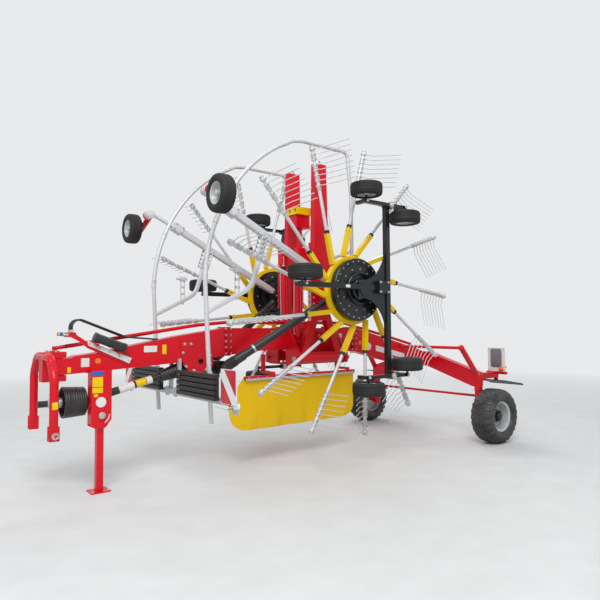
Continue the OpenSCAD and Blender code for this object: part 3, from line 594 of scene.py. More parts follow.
# %% Rear tyre surface
REAR_R = 0.390
REAR_SIDE = 1.315
REAR_HALF = [(0.2150, -0.122), (0.2290, -0.146), (0.2480, -0.162), (0.2750, -0.1695),
             (0.3050, -0.1695), (0.3330, -0.162), (0.3560, -0.148), (0.3720, -0.131),
             (0.3830, -0.108), (0.3880, -0.075), (0.3900, -0.030)]
PITCHES = 24
POINTS_A_PITCH = 14
CUT_FADE = 0.012                     # metres of radius over which the tread's cut fades out


def soft_step(x, low, high):
    """0 below low, 1 above high, and a straight ramp between."""
    return np.clip((x - low) / (high - low), 0, 1)


def tread_depth(turn, across):
    """Depth of the tread's grooves: three zigzag grooves round the tyre, slots between the shoulder
    blocks that lean as they run down the side, and cuts across the ribs. turn is in pitches, across
    in metres."""
    wave = np.abs((turn % 1) * 2 - 1)
    rows = np.array([-0.054, 0.0, 0.054])[:, None, None]
    grooves = 1 - soft_step(np.abs(across - rows - 0.020 * (wave - 0.5)), 0.0045, 0.0095).min(0)
    lean = turn + np.sign(across) * 0.25 + 3.2 * (np.abs(across) - 0.08)
    slots = 1 - soft_step(np.abs(lean % 1 - 0.5), 0.20, 0.28)
    slots = slots * soft_step(np.abs(across), 0.080, 0.090)
    cut = (1 - soft_step(np.abs((turn + 9.0 * across) % 1 - 0.5), 0.06, 0.12)) * 0.6
    return np.maximum(np.maximum(grooves, slots), cut * (np.abs(across) < 0.080))


def tyre(section, count, turns, pitches, depth, cut, reach=0.030):
    """Turns a closed section about +Z. Each point sinks along the section's normal by depth times
    the cut there, which fades out below the tread, reach under the tyre's greatest radius."""
    line = smooth_line(section, count)
    slope = np.gradient(line, axis=0)
    normal = np.stack([slope[:, 1], -slope[:, 0]], -1) / np.linalg.norm(slope, axis=1, keepdims=True)
    turn = np.linspace(0, pitches, turns, endpoint=False)[None, :]
    r, across = line[:, :1], line[:, 1:]
    low = np.max(section, axis=0)[0] - reach
    sunk = depth * cut(turn, across) * soft_step(r, low - CUT_FADE, low)
    r, across = r - sunk * normal[:, :1], across - sunk * normal[:, 1:]
    a = turn / pitches * 2 * np.pi
    pts = np.stack([r * np.cos(a), r * np.sin(a), across], -1)
    return pts.reshape(-1, 3), grid_faces(count, turns, True)


def both_halves(half):
    """A (radius, height) profile and its mirror image, run back to the start."""
    return half + [(r, -h) for r, h in half[::-1]]


rear_tyre = tyre(both_halves(REAR_HALF), count=110, turns=PITCHES * POINTS_A_PITCH,
                 pitches=PITCHES, depth=0.015, cut=tread_depth, reach=0.058)
ON_LEFT_AXLE = np.array([[1, 0, 0, AXLE_X], [0, 0, 1, REAR_SIDE], [0, -1, 0, REAR_R], [0, 0, 0, 1.0]])
# the tread's rubber is lighter partly because of a painted sheen
both_replace(both("rear_tyre_tread", moved(rear_tyre, ON_LEFT_AXLE), road_rubber_dust_and_sheen, "rear_wheel_*",
                  28), "rear_tyre")
print("rear tyre triangles", 2 * len(rear_tyre[1]))

# %% [markdown]
# ## Hubs of the carrying wheels
# The silver rims are deep dishes. In the middle of each sits a black cast hub with its cap, held by
# eight wheel nuts on the dish. All of it is turned about the axle, as the real castings are.

# %% Hubs and wheel nuts
hub = revolve([(0.093, 0.012), (0.094, 0.050), (0.084, 0.064), (0.062, 0.066), (0.058, 0.088),
               (0.050, 0.100), (0.020, 0.104)], 40)
hub_bolts = circle_of(0.074, 6, 0.064)
wheel_nuts = circle_of(0.128, 8, 0.012, 0.2)
both("rear_hub", moved(joined(hub, bolts(0.018, hub_bolts, UP)), ON_LEFT_AXLE), black_paint,
     "rear_wheel_*")
steel_bolts("rear_wheel_nuts", moved(bolts(0.024, wheel_nuts, UP), ON_LEFT_AXLE), "rear_wheel_*")
print("hub bolts and wheel nuts a wheel", len(hub_bolts) + len(wheel_nuts))

# %% [markdown]
# ## Small running wheels and sensing wheels
# Twelve small wheels carry and guide the rotors in work. When the machine is folded, ten of them lie
# flat at the rotors' outer sides, and the two sensing wheels face forwards at the ends of the guard
# arms. Each is a round-shouldered tyre with five fine ribs on a silver steel rim. The same two surfaces
# serve all of them: the tyre function with another depth, and a rim turned from its profile.

# %% Small wheels
SMALL_HALF = [(0.1120, -0.060), (0.1180, -0.070), (0.1300, -0.0785), (0.1500, -0.0825),
              (0.1700, -0.0805), (0.1860, -0.0725), (0.1950, -0.058), (0.1990, -0.036)]
SMALL_SECTION = SMALL_HALF + [(0.2000, 0.0)] + [(r, -h) for r, h in SMALL_HALF[::-1]]
RIM_HALF = [(0.016, 0.052), (0.028, 0.052), (0.031, 0.034), (0.034, 0.013), (0.060, 0.009),
            (0.084, 0.015), (0.097, 0.034), (0.106, 0.060), (0.1155, 0.066), (0.1185, 0.061),
            (0.1130, 0.050)]
HUB_X, HUB_Y, HUB_Z = AXLE_X + 2.385, 0.880, 2.157
WHEEL_SIDE = 1.220
WHEELS = {"wheel_front": (1.010, 0.152), "wheel_outer_a": (0.050, 1.222),
          "wheel_outer_b": (-0.640, 0.948), "wheel_inner_a": (0.050, -1.222),
          "wheel_inner_b": (-0.640, -0.948), "sensing_wheel": (2.080, 0.880)}


def rib_depth(turn, across):
    """Four narrow grooves round the tyre, and small nicks along its shoulders."""
    rows = np.array([-0.042, -0.014, 0.014, 0.042])[:, None, None]
    grooves = 1 - soft_step(np.abs(across - rows), 0.0012, 0.0034).min(0)
    nick = (1 - soft_step(np.abs(turn % 1 - 0.5), 0.15, 0.3)) * 0.8
    nick = nick * soft_step(np.abs(across), 0.050, 0.056)
    return np.maximum(grooves * np.ones_like(turn), nick)


small_tyre = tyre(SMALL_SECTION, count=72, turns=96, pitches=32, depth=0.0045, cut=rib_depth)
hub_cap = revolve([(0.030, 0.050), (0.030, 0.058), (0.022, 0.066), (0.008, 0.069)], 24)
other_side = np.diag([1.0, -1.0, -1.0, 1.0])
small_rim = joined(ring(both_halves(RIM_HALF), 48), hub_cap, moved(hub_cap, other_side))
five_nuts = circle_of(0.058, 5, 0.009)
small_nuts = joined(bolts(0.013, five_nuts, UP), bolts(0.013, five_nuts * [1, 1, -1], DOWN))
for name, (x, z) in WHEELS.items():
    axis = AHEAD if name == "sensing_wheel" else UP
    at_wheel = placed([HUB_X + x, WHEEL_SIDE, HUB_Z + z], axis)[0]
    tyres = both(name + "_tyre", moved(small_tyre, at_wheel), tyre_rubber, name + "_*", 28)
    both(name + "_rim", moved(small_rim, at_wheel), silver_paint, name + "_*")
    steel_bolts(name + "_nuts", moved(small_nuts, at_wheel), name + "_*")
    both_replace(tyres, name)
print("small wheels", 2 * len(WHEELS), "tyre triangles", 2 * len(small_tyre[1]))

# %% [markdown]
# ## Spring coils, clamps and collars on the tine arms
# Each arm carries eight spring tines. A tine starts in a clamp round the arm, and the wire is first
# wound into a coil beside the clamp, so that it can give. A true helix would cost thousands of faces,
# while a coil seen from a step away is a small ribbed barrel: its radius follows the absolute value of
# a sine along the arm. A ball closes the arm's end, and a dark collar clamps the arm where it leaves
# its yellow socket.

# %% Where the arms stand
ARM_COUNT = 13
TINES = 8
TINE_STEP = 0.064
FIRST_ARM = np.radians(-12.5)
ARM_OFFSET = 0.243
TIP_R, SOCKET_R = 1.839, 0.804
ARM_TIP = np.sqrt(TIP_R ** 2 - ARM_OFFSET ** 2)
SOCKET_END = np.sqrt(SOCKET_R ** 2 - ARM_OFFSET ** 2)
ON_ROTOR = np.array([[1, 0, 0, HUB_X], [0, 0, -1, HUB_Y], [0, 1, 0, HUB_Z], [0, 0, 0, 1.0]])


def on_rotor(mesh):
    """From the rotor's own frame, whose +Z is its axis, to the folded rotor on the left."""
    return moved(mesh, ON_ROTOR)


def arm_frames():
    """One matrix per arm: turned about the rotor's axis, then moved beside it. The arm runs along +Y."""
    a = FIRST_ARM + np.arange(ARM_COUNT) * 2 * np.pi / ARM_COUNT
    m = np.zeros((ARM_COUNT, 4, 4))
    m[:, 0, 0], m[:, 0, 1], m[:, 1, 0], m[:, 1, 1] = np.cos(a), -np.sin(a), np.sin(a), np.cos(a)
    m[:, 0, 3], m[:, 1, 3] = ARM_OFFSET * np.cos(a), ARM_OFFSET * np.sin(a)
    m[:, 2, 2] = m[:, 3, 3] = 1
    return m


def along_arms(mesh, distances):
    """The mesh at each distance along every arm, its Z axis along the arm."""
    distances = np.asarray(distances, float)
    local = placed(np.stack([0 * distances, distances, 0 * distances], -1), LEFT, UP)
    everywhere = np.einsum("aij,bjk->abik", ON_ROTOR @ arm_frames(), local)
    return copies(mesh, everywhere.reshape(-1, 4, 4))


print("arms", ARM_COUNT, "from", round(SOCKET_END, 3), "to", round(ARM_TIP, 3), "m along their line")

# %% Arm fittings
clamp_at = ARM_TIP - 0.025 - TINE_STEP * np.arange(TINES)
wind = np.linspace(0, 1, 10)
coil = revolve(np.stack([0.0265 + 0.0055 * np.abs(np.sin(wind * 3 * np.pi)), wind * 0.034], -1), 10)
coils = joined(along_arms(coil, clamp_at[0::2] + 0.013), along_arms(coil, clamp_at[1::2] - 0.047))
clamp_lug = revolve([(0.011, 0.0), (0.011, 0.012), (0.007, 0.016)], 6)
lugs = [along_arms(moved(clamp_lug, placed([0.030 * s, 0, 0], (s, 0, 0))[0]), clamp_at)
        for s in (-1, 1)]
end_ball = revolve([(0.026, -0.018), (0.036, -0.008), (0.040, 0.008), (0.037, 0.024),
                    (0.026, 0.034), (0.012, 0.038)], 16)
collar = ring([(0.0215, -0.010), (0.0335, -0.008), (0.0345, 0.004), (0.0310, 0.008),
               (0.0330, 0.014), (0.0330, 0.030), (0.0215, 0.032)], 20)
socket_sides = np.array([AHEAD, LEFT, RIGHT])
socket_bolts = bolts(0.016, 0.028 * socket_sides, socket_sides)
both("tine_coils", coils, spring_steel, "rotor_*", 50)
steel_bolts("clamp_bolts", joined(*lugs), "rotor_*")
both("arm_ends", along_arms(end_ball, [ARM_TIP - 0.030]), tube_zinc, "rotor_*")
both("arm_collars", along_arms(collar, [SOCKET_END + 0.001]), black_paint, "rotor_*")
steel_bolts("socket_bolts", along_arms(socket_bolts, [SOCKET_END - 0.050]), "rotor_*")
print("coils", 2 * TINES * ARM_COUNT, "triangles", 2 * 2 * len(coils[1]))

# %% [markdown]
# ## Cam housing
# The black housing in the middle of a rotor hides the cam that turns the arms. Its cover is a disc with
# three circles of screws, a boss, and a raised ring that stands a little off centre. On the other side
# a drum cover closes the yellow spider. They are cast and turned parts, so each is a turned profile.

# %% Cam covers
FACE = -0.120                        # the cover's outer face along the rotor's axis
cam_ring = ring([(0.214, FACE + 0.002), (0.216, FACE - 0.020), (0.208, FACE - 0.028),
                 (0.182, FACE - 0.028), (0.174, FACE - 0.018), (0.172, FACE + 0.002)], 72)
cam_step = ring([(0.394, FACE + 0.004), (0.394, FACE - 0.004), (0.388, FACE - 0.010),
                 (0.330, FACE - 0.010), (0.322, FACE - 0.006), (0.320, FACE + 0.002)], 96)
boss = revolve([(0.128, FACE + 0.002), (0.126, FACE - 0.040), (0.112, FACE - 0.052),
                (0.095, FACE - 0.056)], 48)
covers = joined(moved(cam_ring, placed([-0.030, 0.018, 0], UP, AHEAD)[0]), cam_step, boss)
both("cam_cover", on_rotor(covers), black_paint, "carriage_*")
cam_screws = joined(bolts(0.014, circle_of(0.357, 24, FACE - 0.009), DOWN),
                    bolts(0.014, circle_of(0.262, 12, FACE, 0.13), DOWN),
                    bolts(0.012, circle_of(0.116, 8, FACE - 0.048, 0.2), DOWN))
steel_bolts("cam_screws", on_rotor(cam_screws), "carriage_*")
print("cam cover triangles", 2 * len(covers[1]))

# %% Spider covers
drum = ring([(0.222, -0.020), (0.222, 0.022), (0.250, 0.030), (0.330, 0.030), (0.372, 0.018),
             (0.380, -0.020)], 72)
hub_cover = ring([(0.120, 0.051), (0.120, 0.060), (0.180, 0.066), (0.214, 0.060), (0.224, 0.040),
                  (0.224, 0.012), (0.2205, 0.012), (0.2205, 0.051)], 64)
spider_rim = ring([(0.392, -0.034), (0.424, -0.034), (0.440, -0.012), (0.440, 0.012), (0.424, 0.034),
                   (0.392, 0.034)], 96)
both("spider_drum", on_rotor(joined(drum, hub_cover)), black_paint, "rotor_*")
steel_bolts("spider_bolts", on_rotor(bolts(0.016, circle_of(0.300, ARM_COUNT, 0.029), UP)), "rotor_*")
steel_bolts("gear_head_bolts", on_rotor(bolts(0.022, circle_of(0.128, 10, 0.279), UP)), "carriage_*")
both("spider_rim", on_rotor(spider_rim), yellow_paint, "rotor_*")
print("drum triangles", 2 * len(drum[1]))

# %% [markdown]
# ## Pins and bolts of the wheel frame
# The black wheel frame is a T of square tubes. The wheel pairs tilt on a pin at each end of the cross
# beam, and the middle is bolted together with a stack of plates. The pins end in bright washers.

# %% Wheel frame fittings
DECK = HUB_Y - 1.090                 # the frame's outer side along the rotor's axis
CROSS_X = -0.393
AXLE_NUTS = ((1.010, 0.025), (0.050, 1.085), (-0.640, 1.085), (0.050, -1.085), (-0.640, -1.085))
pin_head = revolve([(0.040, 0.0), (0.040, 0.008), (0.026, 0.010), (0.026, 0.022), (0.018, 0.028)], 24)
pins = copies(pin_head, placed([[CROSS_X, s * 1.085, DECK - 0.130] for s in (-1, 1)], DOWN))
steel_bolts("rocker_pins", on_rotor(pins), "carriage_*")
stack = [[x, y, DECK - 0.100] for x in (-0.345, -0.205) for y in (0.090, -0.030)]
steel_bolts("frame_bolts", on_rotor(bolts(0.026, stack, DOWN)), "carriage_*")
ends = copies(plate(0.150, 0.120, 0.012, 0.012),
              placed([[CROSS_X, s * 1.088, DECK - 0.030] for s in (1, -1)], [LEFT, RIGHT], AHEAD))
both("beam_ends", on_rotor(ends), black_paint, "carriage_*")
axle_nut = revolve([(0.020, 0.0), (0.020, 0.014), (0.012, 0.020)], 6)
nut_places = [[x, y, HUB_Y - WHEEL_SIDE - 0.018] for x, y in AXLE_NUTS]
steel_bolts("axle_nuts", on_rotor(copies(axle_nut, placed(nut_places, DOWN))), "carriage_*")
arm_tag = plate_at((0.070, 0.034, 0.004, 0.002), [0.300, 0.025, DECK - 0.055], DOWN, AHEAD)
both("arm_tag", on_rotor(arm_tag), white_paint, "carriage_*")
print("wheel frame deck", round(-DECK, 3), "m outside the rotor's plane")

# %% [markdown]
# ## Warning boards
# The front boards are white sheet with one slanted white band between two red fields, which lean
# outwards and down on each side. The band could be its own plate, but on the real board it is printed.
# The colour of a point depends only on height plus a share of its sideways place, so the band is a
# comparison on that sum. The rear boards show dark grey panels in white frames to the front, and the
# same red and white to the back.

# %% Striped finish and boards
LEAN = 1.15
BAND = 0.078
RED_FIELD = ((0.48, 0.004, 0.012), (0.60, 0.012, 0.022))
WHITE_FIELD = ((0.74, 0.74, 0.73), (0.84, 0.84, 0.83))


def striped(name, side, middle, height):
    """White where |z + lean y - c| is under the band's half width, red elsewhere. c is the sum at the
    middle."""
    finish = Finish(name, (0.80, 0.80, 0.79), 0.30, coat=0.4)
    lean = LEAN * side
    away = abs(finish.axis("Z") + finish.axis("Y") * lean - (height + lean * middle))
    grain = finish.noise(380.0, 1.0)
    red = finish.blend(grain, *RED_FIELD)
    finish.color(finish.blend(away > BAND, finish.blend(grain, *WHITE_FIELD), red))
    finish.bump(grain, 0.05, 0.001)
    return finish.material


front_mid = row(4442.5, 1325, 1107)
rear_mid = row(-460, 1080, 1176)
for letter, side in (("l", 1), ("r", -1)):
    for end, middle, size, facing in (("front", front_mid, (0.284, 0.330, 0.022, 0.0025), AHEAD),
                                      ("rear", rear_mid, (0.274, 0.346, 0.022, 0.0025), BACK)):
        piece(f"{end}_board_{letter}", plate_at(size, middle * np.array([1, side, 1]), facing),
              striped(f"{end}_stripes_{letter}", side, side * middle[1], middle[2]), "frame")
print("boards at", front_mid.round(3), rear_mid.round(3))

# %% Board panels and lamps
panel = plate_at((0.190, 0.285, 0.035, 0.006), row(-440.2, 1080, 1200), AHEAD)
both("board_panel", panel, grey_board, "frame")
panel_bolts = [row(-440.2, 1080 + y, 1176 + z) for y in (-125, 125) for z in (-160, 160)]
steel_bolts("board_bolts", bolts(0.012, panel_bolts, AHEAD), "frame")
lamp_shell = revolve([(0.036, 0), (0.036, 0.030), (0.030, 0.044), (0.014, 0.050)], 24)
side_lamp = revolve([(0.030, 0), (0.030, 0.022), (0.024, 0.032), (0.010, 0.036)], 20)
for name, shell, place, facing, colour in (
        ("rear_lamp", lamp_shell, row(-463, 1180, 1060), BACK, red_lens),
        ("marker_lamp", lamp_shell, row(4385, 1420, 925), AHEAD, white_lens),
        ("amber_lamp", side_lamp, row(-425.5, 1170, 1040), AHEAD, amber_lens)):
    both(name, moved(shell, placed(place, facing)[0]), colour, "frame")
print("board bolts a side", len(panel_bolts))

# %% [markdown]
# ## Lamp brackets and tube ends of the crossbar
# A bent zinc plate joins each warning board to the bar and carries the small lamp. Plastic plugs close
# the bar's ends, and two clamps with bolts hold it to its posts. All are flat, so all are plates.

# %% Crossbar fittings
bracket = joined(plate_at((0.110, 0.130, 0.018, 0.008), row(4395, 1386, 905), AHEAD),
                 plate_at((0.080, 0.070, 0.010, 0.008), row(4400, 1330, 885), UP, AHEAD))
both("lamp_bracket", bracket, galvanised, "frame")
both("bar_plugs", plate_at((0.062, 0.062, 0.008, 0.010), row(4400, 1299.5, 950), LEFT, SLANT),
     black_plastic, "frame")
bar_bolts = [row(4438, 110 + y, 955 + z) for y in (-25, 25) for z in (-40, 40)]
both("bar_clamps", plate_at((0.080, 0.110, 0.010, 0.008), row(4430.2, 110, 955), AHEAD), galvanised,
     "frame")
steel_bolts("bar_clamp_bolts", bolts(0.014, bar_bolts, AHEAD), "frame")
print("crossbar clamp bolts a side", len(bar_bolts))

# %% [markdown]
# ## Drive shaft guards
# The drive shaft under the drawbar turns in a black plastic tube. A ribbed bell covers its front joint
# and a bellows its rear joint. Both are profiles turned about the shaft's line, whose radius rises and
# falls with a sine, so a number of folds is all that has to be said. Blank bands stand where the real
# tube has its stickers.

# %% Front shaft
SHAFT_FRONT, SHAFT_REAR, SHAFT_END = row(5400, 0, 925), row(4560, 0, 1140), row(4345, 0, 1195)
BELL_REAR, BELL_FRONT, YOKE_END = row(5426, 0, 925), row(5646, 0, 925), row(5795, 0, 925)
BANDS = (("shaft_band_a", 0.407, 0.607, white_paint), ("shaft_band_b", 0.636, 0.768, yellow_paint),
         ("shaft_band_c", 0.776, 0.855, white_paint))


def sleeve(start, end, share, radii):
    """A ring round the line from start to end: share are places along it, radii the outer radius
    there. The wall is a tenth of the radius."""
    share, radii = np.asarray(share, float), np.asarray(radii, float)
    heights = share * np.linalg.norm(end - start)
    outline = np.vstack([np.column_stack([radii, heights]),
                         np.column_stack([radii[::-1] * 0.9, heights[::-1]])])
    return moved(ring(outline, 40), placed(start, end - start)[0])


def folds(along, count):
    """The ripple of a bellows: the absolute value of a sine, count times along it."""
    return np.abs(np.sin(along * count * np.pi))


along = np.linspace(0.0, 1.0, 61)
bellows = sleeve(SHAFT_REAR, SHAFT_END, along * 1.06 - 0.10,
                 0.058 + 0.022 * along + 0.007 * folds(along, 7))
piece("shaft_bellows", bellows, black_plastic, "frame", 60)
grooves = np.abs((along * 3.2) % 1 - 0.5) < 0.06
bell = sleeve(BELL_REAR, BELL_FRONT, along * 0.97,
              0.147 + 0.013 * along - 0.006 * grooves + 0.003 * folds(along, 9))
piece("shaft_bell", bell, black_plastic, "frame", 60)
yoke = sleeve(BELL_FRONT, YOKE_END, [0.0, 0.05, 0.5, 0.55, 0.9, 0.95],
              [0.045, 0.052, 0.052, 0.044, 0.044, 0.036])
piece("shaft_yoke", yoke, bolt_steel, "frame")
for name, low, high, finish in BANDS:
    piece(name, sleeve(SHAFT_FRONT, SHAFT_REAR, [low, high], [0.0435, 0.0435]), finish, "frame")
print("shaft length", round(float(np.linalg.norm(SHAFT_REAR - SHAFT_FRONT)), 3))

# %% Rotor drive shafts
DRIVE_ROOT, DRIVE_TIP = row(3850, 220.3, 1215), row(2560, 640, 2047)
cone = sleeve(DRIVE_ROOT, DRIVE_TIP, 0.01 + along * 0.085, 0.062 + 0.006 * folds(along, 6))
both("drive_bellows", cone, black_plastic, "drive_tube_*", 60)
both("drive_band", sleeve(DRIVE_ROOT, DRIVE_TIP, [0.255, 0.27], [0.053, 0.053]), galvanised,
     "drive_tube_*")
both("drive_tag", sleeve(DRIVE_ROOT, DRIVE_TIP, [0.110, 0.135], [0.0515, 0.0515]), yellow_paint,
     "drive_tube_*")
print("rotor drive shaft", round(float(np.linalg.norm(DRIVE_TIP - DRIVE_ROOT)), 3), "m folded")

# %% [markdown]
# ## Blank plates
# The machine's stickers and name plates are left blank: only their size, place and ground colour stay.
# Each is a thin plate with round corners, given by its corners in the side view and the face it sits
# on. A real sticker has no thickness, but 1.5 mm keeps it clear of the paint under it. Two orange
# reflectors are plates of the same kind, so they stand in the same list.

# %% Plates on the left side of the frame
BRACKET, BEAM, GUIDE = 220.2, 90.2, 102.5
STICKER_T = 0.0015
PLATES = [("beam_plate", white_paint, BEAM, 4653, 4806, 1420, 1490),
          ("beam_tag", yellow_paint, BEAM, 4540, 4590, 1392, 1500),
          ("front_plate", white_paint, BEAM, 5400, 5485, 1288, 1380),
          ("front_tag", yellow_paint, BEAM, 5585, 5620, 1232, 1292),
          ("bracket_blue", blue_paint, BRACKET, 5288, 5410, 1196, 1247),
          ("bracket_tag_a", yellow_paint, BRACKET, 5297, 5405, 1084, 1184),
          ("bracket_tag_b", yellow_paint, BRACKET, 5297, 5405, 1020, 1076),
          ("bracket_tag_c", yellow_paint, BRACKET, 5347, 5388, 981, 1010),
          ("rear_tag", white_paint, BEAM, 1860, 2005, 1533, 1600),
          ("joint_tag", yellow_paint, BEAM, 2998, 3088, 1594, 1642),
          ("round_plate", white_paint, BRACKET, 5262, 5368, 872, 978, 52),
          ("reflector_a", orange_paint, BEAM, 5280, 5340, 1315, 1375, 29),
          ("reflector_b", orange_paint, BEAM, 1470, 1530, 1430, 1490, 29),
          ("beam_disc", white_paint, BEAM, 1270, 1380, 1345, 1455, 54)]


def side_sign(face, x0, x1, z0, z1, corner=6):
    """A thin plate on a face that looks to the left, between two corners in the side view."""
    size = ((x1 - x0) / 1000, (z1 - z0) / 1000, corner / 1000, STICKER_T)
    return plate_at(size, row((x0 + x1) / 2, face, (z0 + z1) / 2), LEFT, BACK)


for name, finish, face, *corners in PLATES:
    slot = "lens" if finish == orange_paint else "board"
    piece(name, side_sign(face, *corners), finish, "frame")
print("plates and reflectors", len(PLATES))

# %% [markdown]
# Two larger plates follow the slope of the beam: a panel near the axle, and the strip that guides the
# hoses. Their corners are listed from the side view, because a slanted outline is no rectangle.

# %% Slanted plates
PANEL_CORNERS = [(545, 1192), (1175, 1330), (1175, 1412), (545, 1268)]
STRIP_CORNERS = [(4953, 1362), (4980, 1306), (5419, 1512), (5429, 1564)]


def slanted_sign(face, corners, thickness):
    """A four-cornered plate on a face that looks to the left: its two quads and the rim between."""
    pts = np.array([row(x, face, z) for x, z in corners])
    middle, out = pts.mean(0), [0, thickness, 0]
    small = middle + (pts - middle) * POLE_SHARE
    rings = np.stack([small, pts, pts + out, small + out])
    return rings.reshape(-1, 3), grid_faces(4, len(corners))


piece("side_panel", slanted_sign(BEAM, PANEL_CORNERS, 0.002), white_paint, "frame")
piece("guide_strip", slanted_sign(GUIDE, STRIP_CORNERS, 0.010), white_paint, "frame")
strip_bolts = [row(x, GUIDE + 10, 1334 + (x - 4966) * 0.448) for x in (4985, 5090, 5195, 5300, 5405)]
piece("strip_bolts", bolts(0.014, strip_bolts, LEFT), bolt_steel, "frame")
print("strip bolts", len(strip_bolts))

# %% [markdown]
# ## Bolted joints of the main beam
# The beam is made of three lengths, joined by flanges with bolts down both edges. Cheek plates are
# bolted on over the gearbox, and the saddles that carry the booms farther back. Lists of places with
# one small bolt head are all that these joints need.

# %% Beam bolts
FLANGES = (3740, 1640)
FLANGE_ROWS = np.linspace(1370, 1675, 5)


def flange_row(offset):
    """The bolts down both edges of both flanges, on one face of each."""
    return [row(f + offset, s * 108, z) for f in FLANGES for s in (-1, 1) for z in FLANGE_ROWS]


cheeks = np.array([row(x, 102.2, z) for x, z in ((3985, 1270), (3985, 1360), (4040, 1190),
                                                 (4200, 1190), (4240, 1500), (4320, 1500),
                                                 (4340, 1400), (4300, 1240))])
saddles = np.array([row(x, 160.2, z) for x in (2110, 2230, 2350, 2470, 2570) for z in (1330, 1580)])
beam_bolts = joined(bolts(0.026, flange_row(-24), BACK), bolts(0.026, flange_row(24), AHEAD),
                    bolts(0.026, cheeks, LEFT), bolts(0.026, cheeks * TO_THE_RIGHT, RIGHT),
                    bolts(0.028, saddles, LEFT), bolts(0.028, saddles * TO_THE_RIGHT, RIGHT))
piece("beam_bolts", beam_bolts, bolt_steel, "frame")
axle_bolts = [row(-60.2, y, z) for z in (960, 840) for y in (1010, 1070)]
steel_bolts("axle_bolts", bolts(0.022, axle_bolts, BACK), "frame")
kingpin_bolts = [row(x, y, 970.2) for y in (1025, 1095) for x in (-35, 35)]
steel_bolts("kingpin_bolts", bolts(0.018, kingpin_bolts, UP), "frame")
print("beam bolts", 2 * len(flange_row(0)) + 2 * len(cheeks) + 2 * len(saddles))

# %% [markdown]
# ## Hinge pins, cylinder fittings and boom hardware
# The booms turn on greased pins with keeper plates. Each lift cylinder has a gland nut where its rod
# comes out, ports at its ends and a steel pipe along its side. The booms carry lifting eyes, and the
# carriages that slide on them show their bolts. The fittings of a cylinder are measured along its own
# line, so they follow its slant.

# %% Lift cylinders and pins
LIFT_FOOT, LIFT_EYE = row(2700, 140, 1500), row(2700, 170, 2700)
LIFT_LENGTH = np.linalg.norm(LIFT_EYE - LIFT_FOOT)
lift_axis = (LIFT_EYE - LIFT_FOOT) / LIFT_LENGTH
keeper = revolve([(0.036, 0), (0.036, 0.008), (0.026, 0.010), (0.026, 0.016), (0.010, 0.020)], 24)
pin_ends = [placed(row(2435 + s * 455, 330, 1280), (s, 0, 0))[0] for s in (-1, 1)]
steel_bolts("hinge_keepers", copies(keeper, pin_ends), "frame")
gland = sleeve(LIFT_FOOT, LIFT_FOOT + lift_axis, [0.995, 1.0, 1.028, 1.034],
               [0.044, 0.048, 0.048, 0.040])
both("gland_nut", gland, black_paint, "lift_barrel_*")
PIPE = ((0.10, 0.8), (0.16, 1.12), (0.60, 1.12), (0.90, 1.12), (0.96, 0.8))
beside = np.array([0.052, 0, 0])
pipe = smooth_line([LIFT_FOOT + lift_axis * h + beside * out for h, out in PIPE], 24)
both("cylinder_pipe", tube(pipe, 0.006, 10, LEFT), galvanised, "lift_barrel_*", 60)
ports = copies(revolve([(0.016, -0.012), (0.016, 0.008), (0.012, 0.012), (0.012, 0.022)], 6),
               placed([LIFT_FOOT + lift_axis * h + [0.040, 0, 0] for h in (0.10, 0.96)], AHEAD))
steel_bolts("cylinder_ports", ports, "lift_barrel_*")
print("lift cylinder", round(float(LIFT_LENGTH), 3), "m between its eyes")

# %% Boom hardware
eye = ring([(0.016, -0.008), (0.028, -0.010), (0.038, 0.0), (0.028, 0.010), (0.016, 0.008)], 24)
both("boom_eye", moved(eye, placed(row(2435, 300, 3930), LEFT)[0]), galvanised, "boom_*")
slide_bolts = [row(2435 + x, 387.2, z) for x in (-175, 175) for z in (2000, 2080, 2260, 2340)]
steel_bolts("carriage_bolts", bolts(0.024, slide_bolts, LEFT), "carriage_*")
print("carriage bolts a side", len(slide_bolts))

# %% [markdown]
# ## Hoop guards
# The pale hoops are round tubes bent about the rotor. A bent stay of flat-sided tube ties each hoop to
# the square tube of the sensing wheel, which slides in a larger one. All are bent stock, so a section
# is carried along each line. The lines are worked out in the rotor's own plane.

# %% Guard tubes
HOOP_R, HOOP_Z = 1.985, 0.180
HOOP_FROM, HOOP_TO = 1.5, 67         # degrees round the rotor
FOOT_STEPS = 14
TUBE_TURN, TUBE_W = np.radians(27), 0.080


def hoop_points():
    """The hoop's line in its plane: a straight foot, the arc about the rotor, then the rail with
    round corners."""
    a = np.radians(np.linspace(HOOP_FROM, HOOP_TO, 48))
    arc = HOOP_R * np.column_stack([np.cos(a), np.sin(a)])
    rail_y = arc[-1, 1] + 0.023
    rail = np.array([arc[-1], [arc[-1, 0] - 0.135, rail_y], [-0.110, rail_y], [-0.173, 1.269],
                     [-0.176, 0.455], [-0.076, 0.142]])
    foot = np.linspace([HOOP_R - 0.080, -1.500], arc[0], FOOT_STEPS, endpoint=False)
    return foot, np.vstack([foot, arc, bent_line(rail, 0.090, 7, 6)[1:]])


def square_tube(path, width, height, corner=0.008):
    """The outside of a hollow section, carried along a line in the guard's plane: width lies in the
    plane and height across it."""
    path = np.column_stack([path, np.full(len(path), HOOP_Z)])
    x, y = rounded(height, width, corner, 16)
    return carried(path, np.column_stack([x, y, 0 * x]), 1.0, UP, POLE_SHARE)


def along_tube(distances):
    """Points in the guard's plane along the sensing wheel's square tube."""
    return np.array(distances)[:, None] * tube_along[:2]


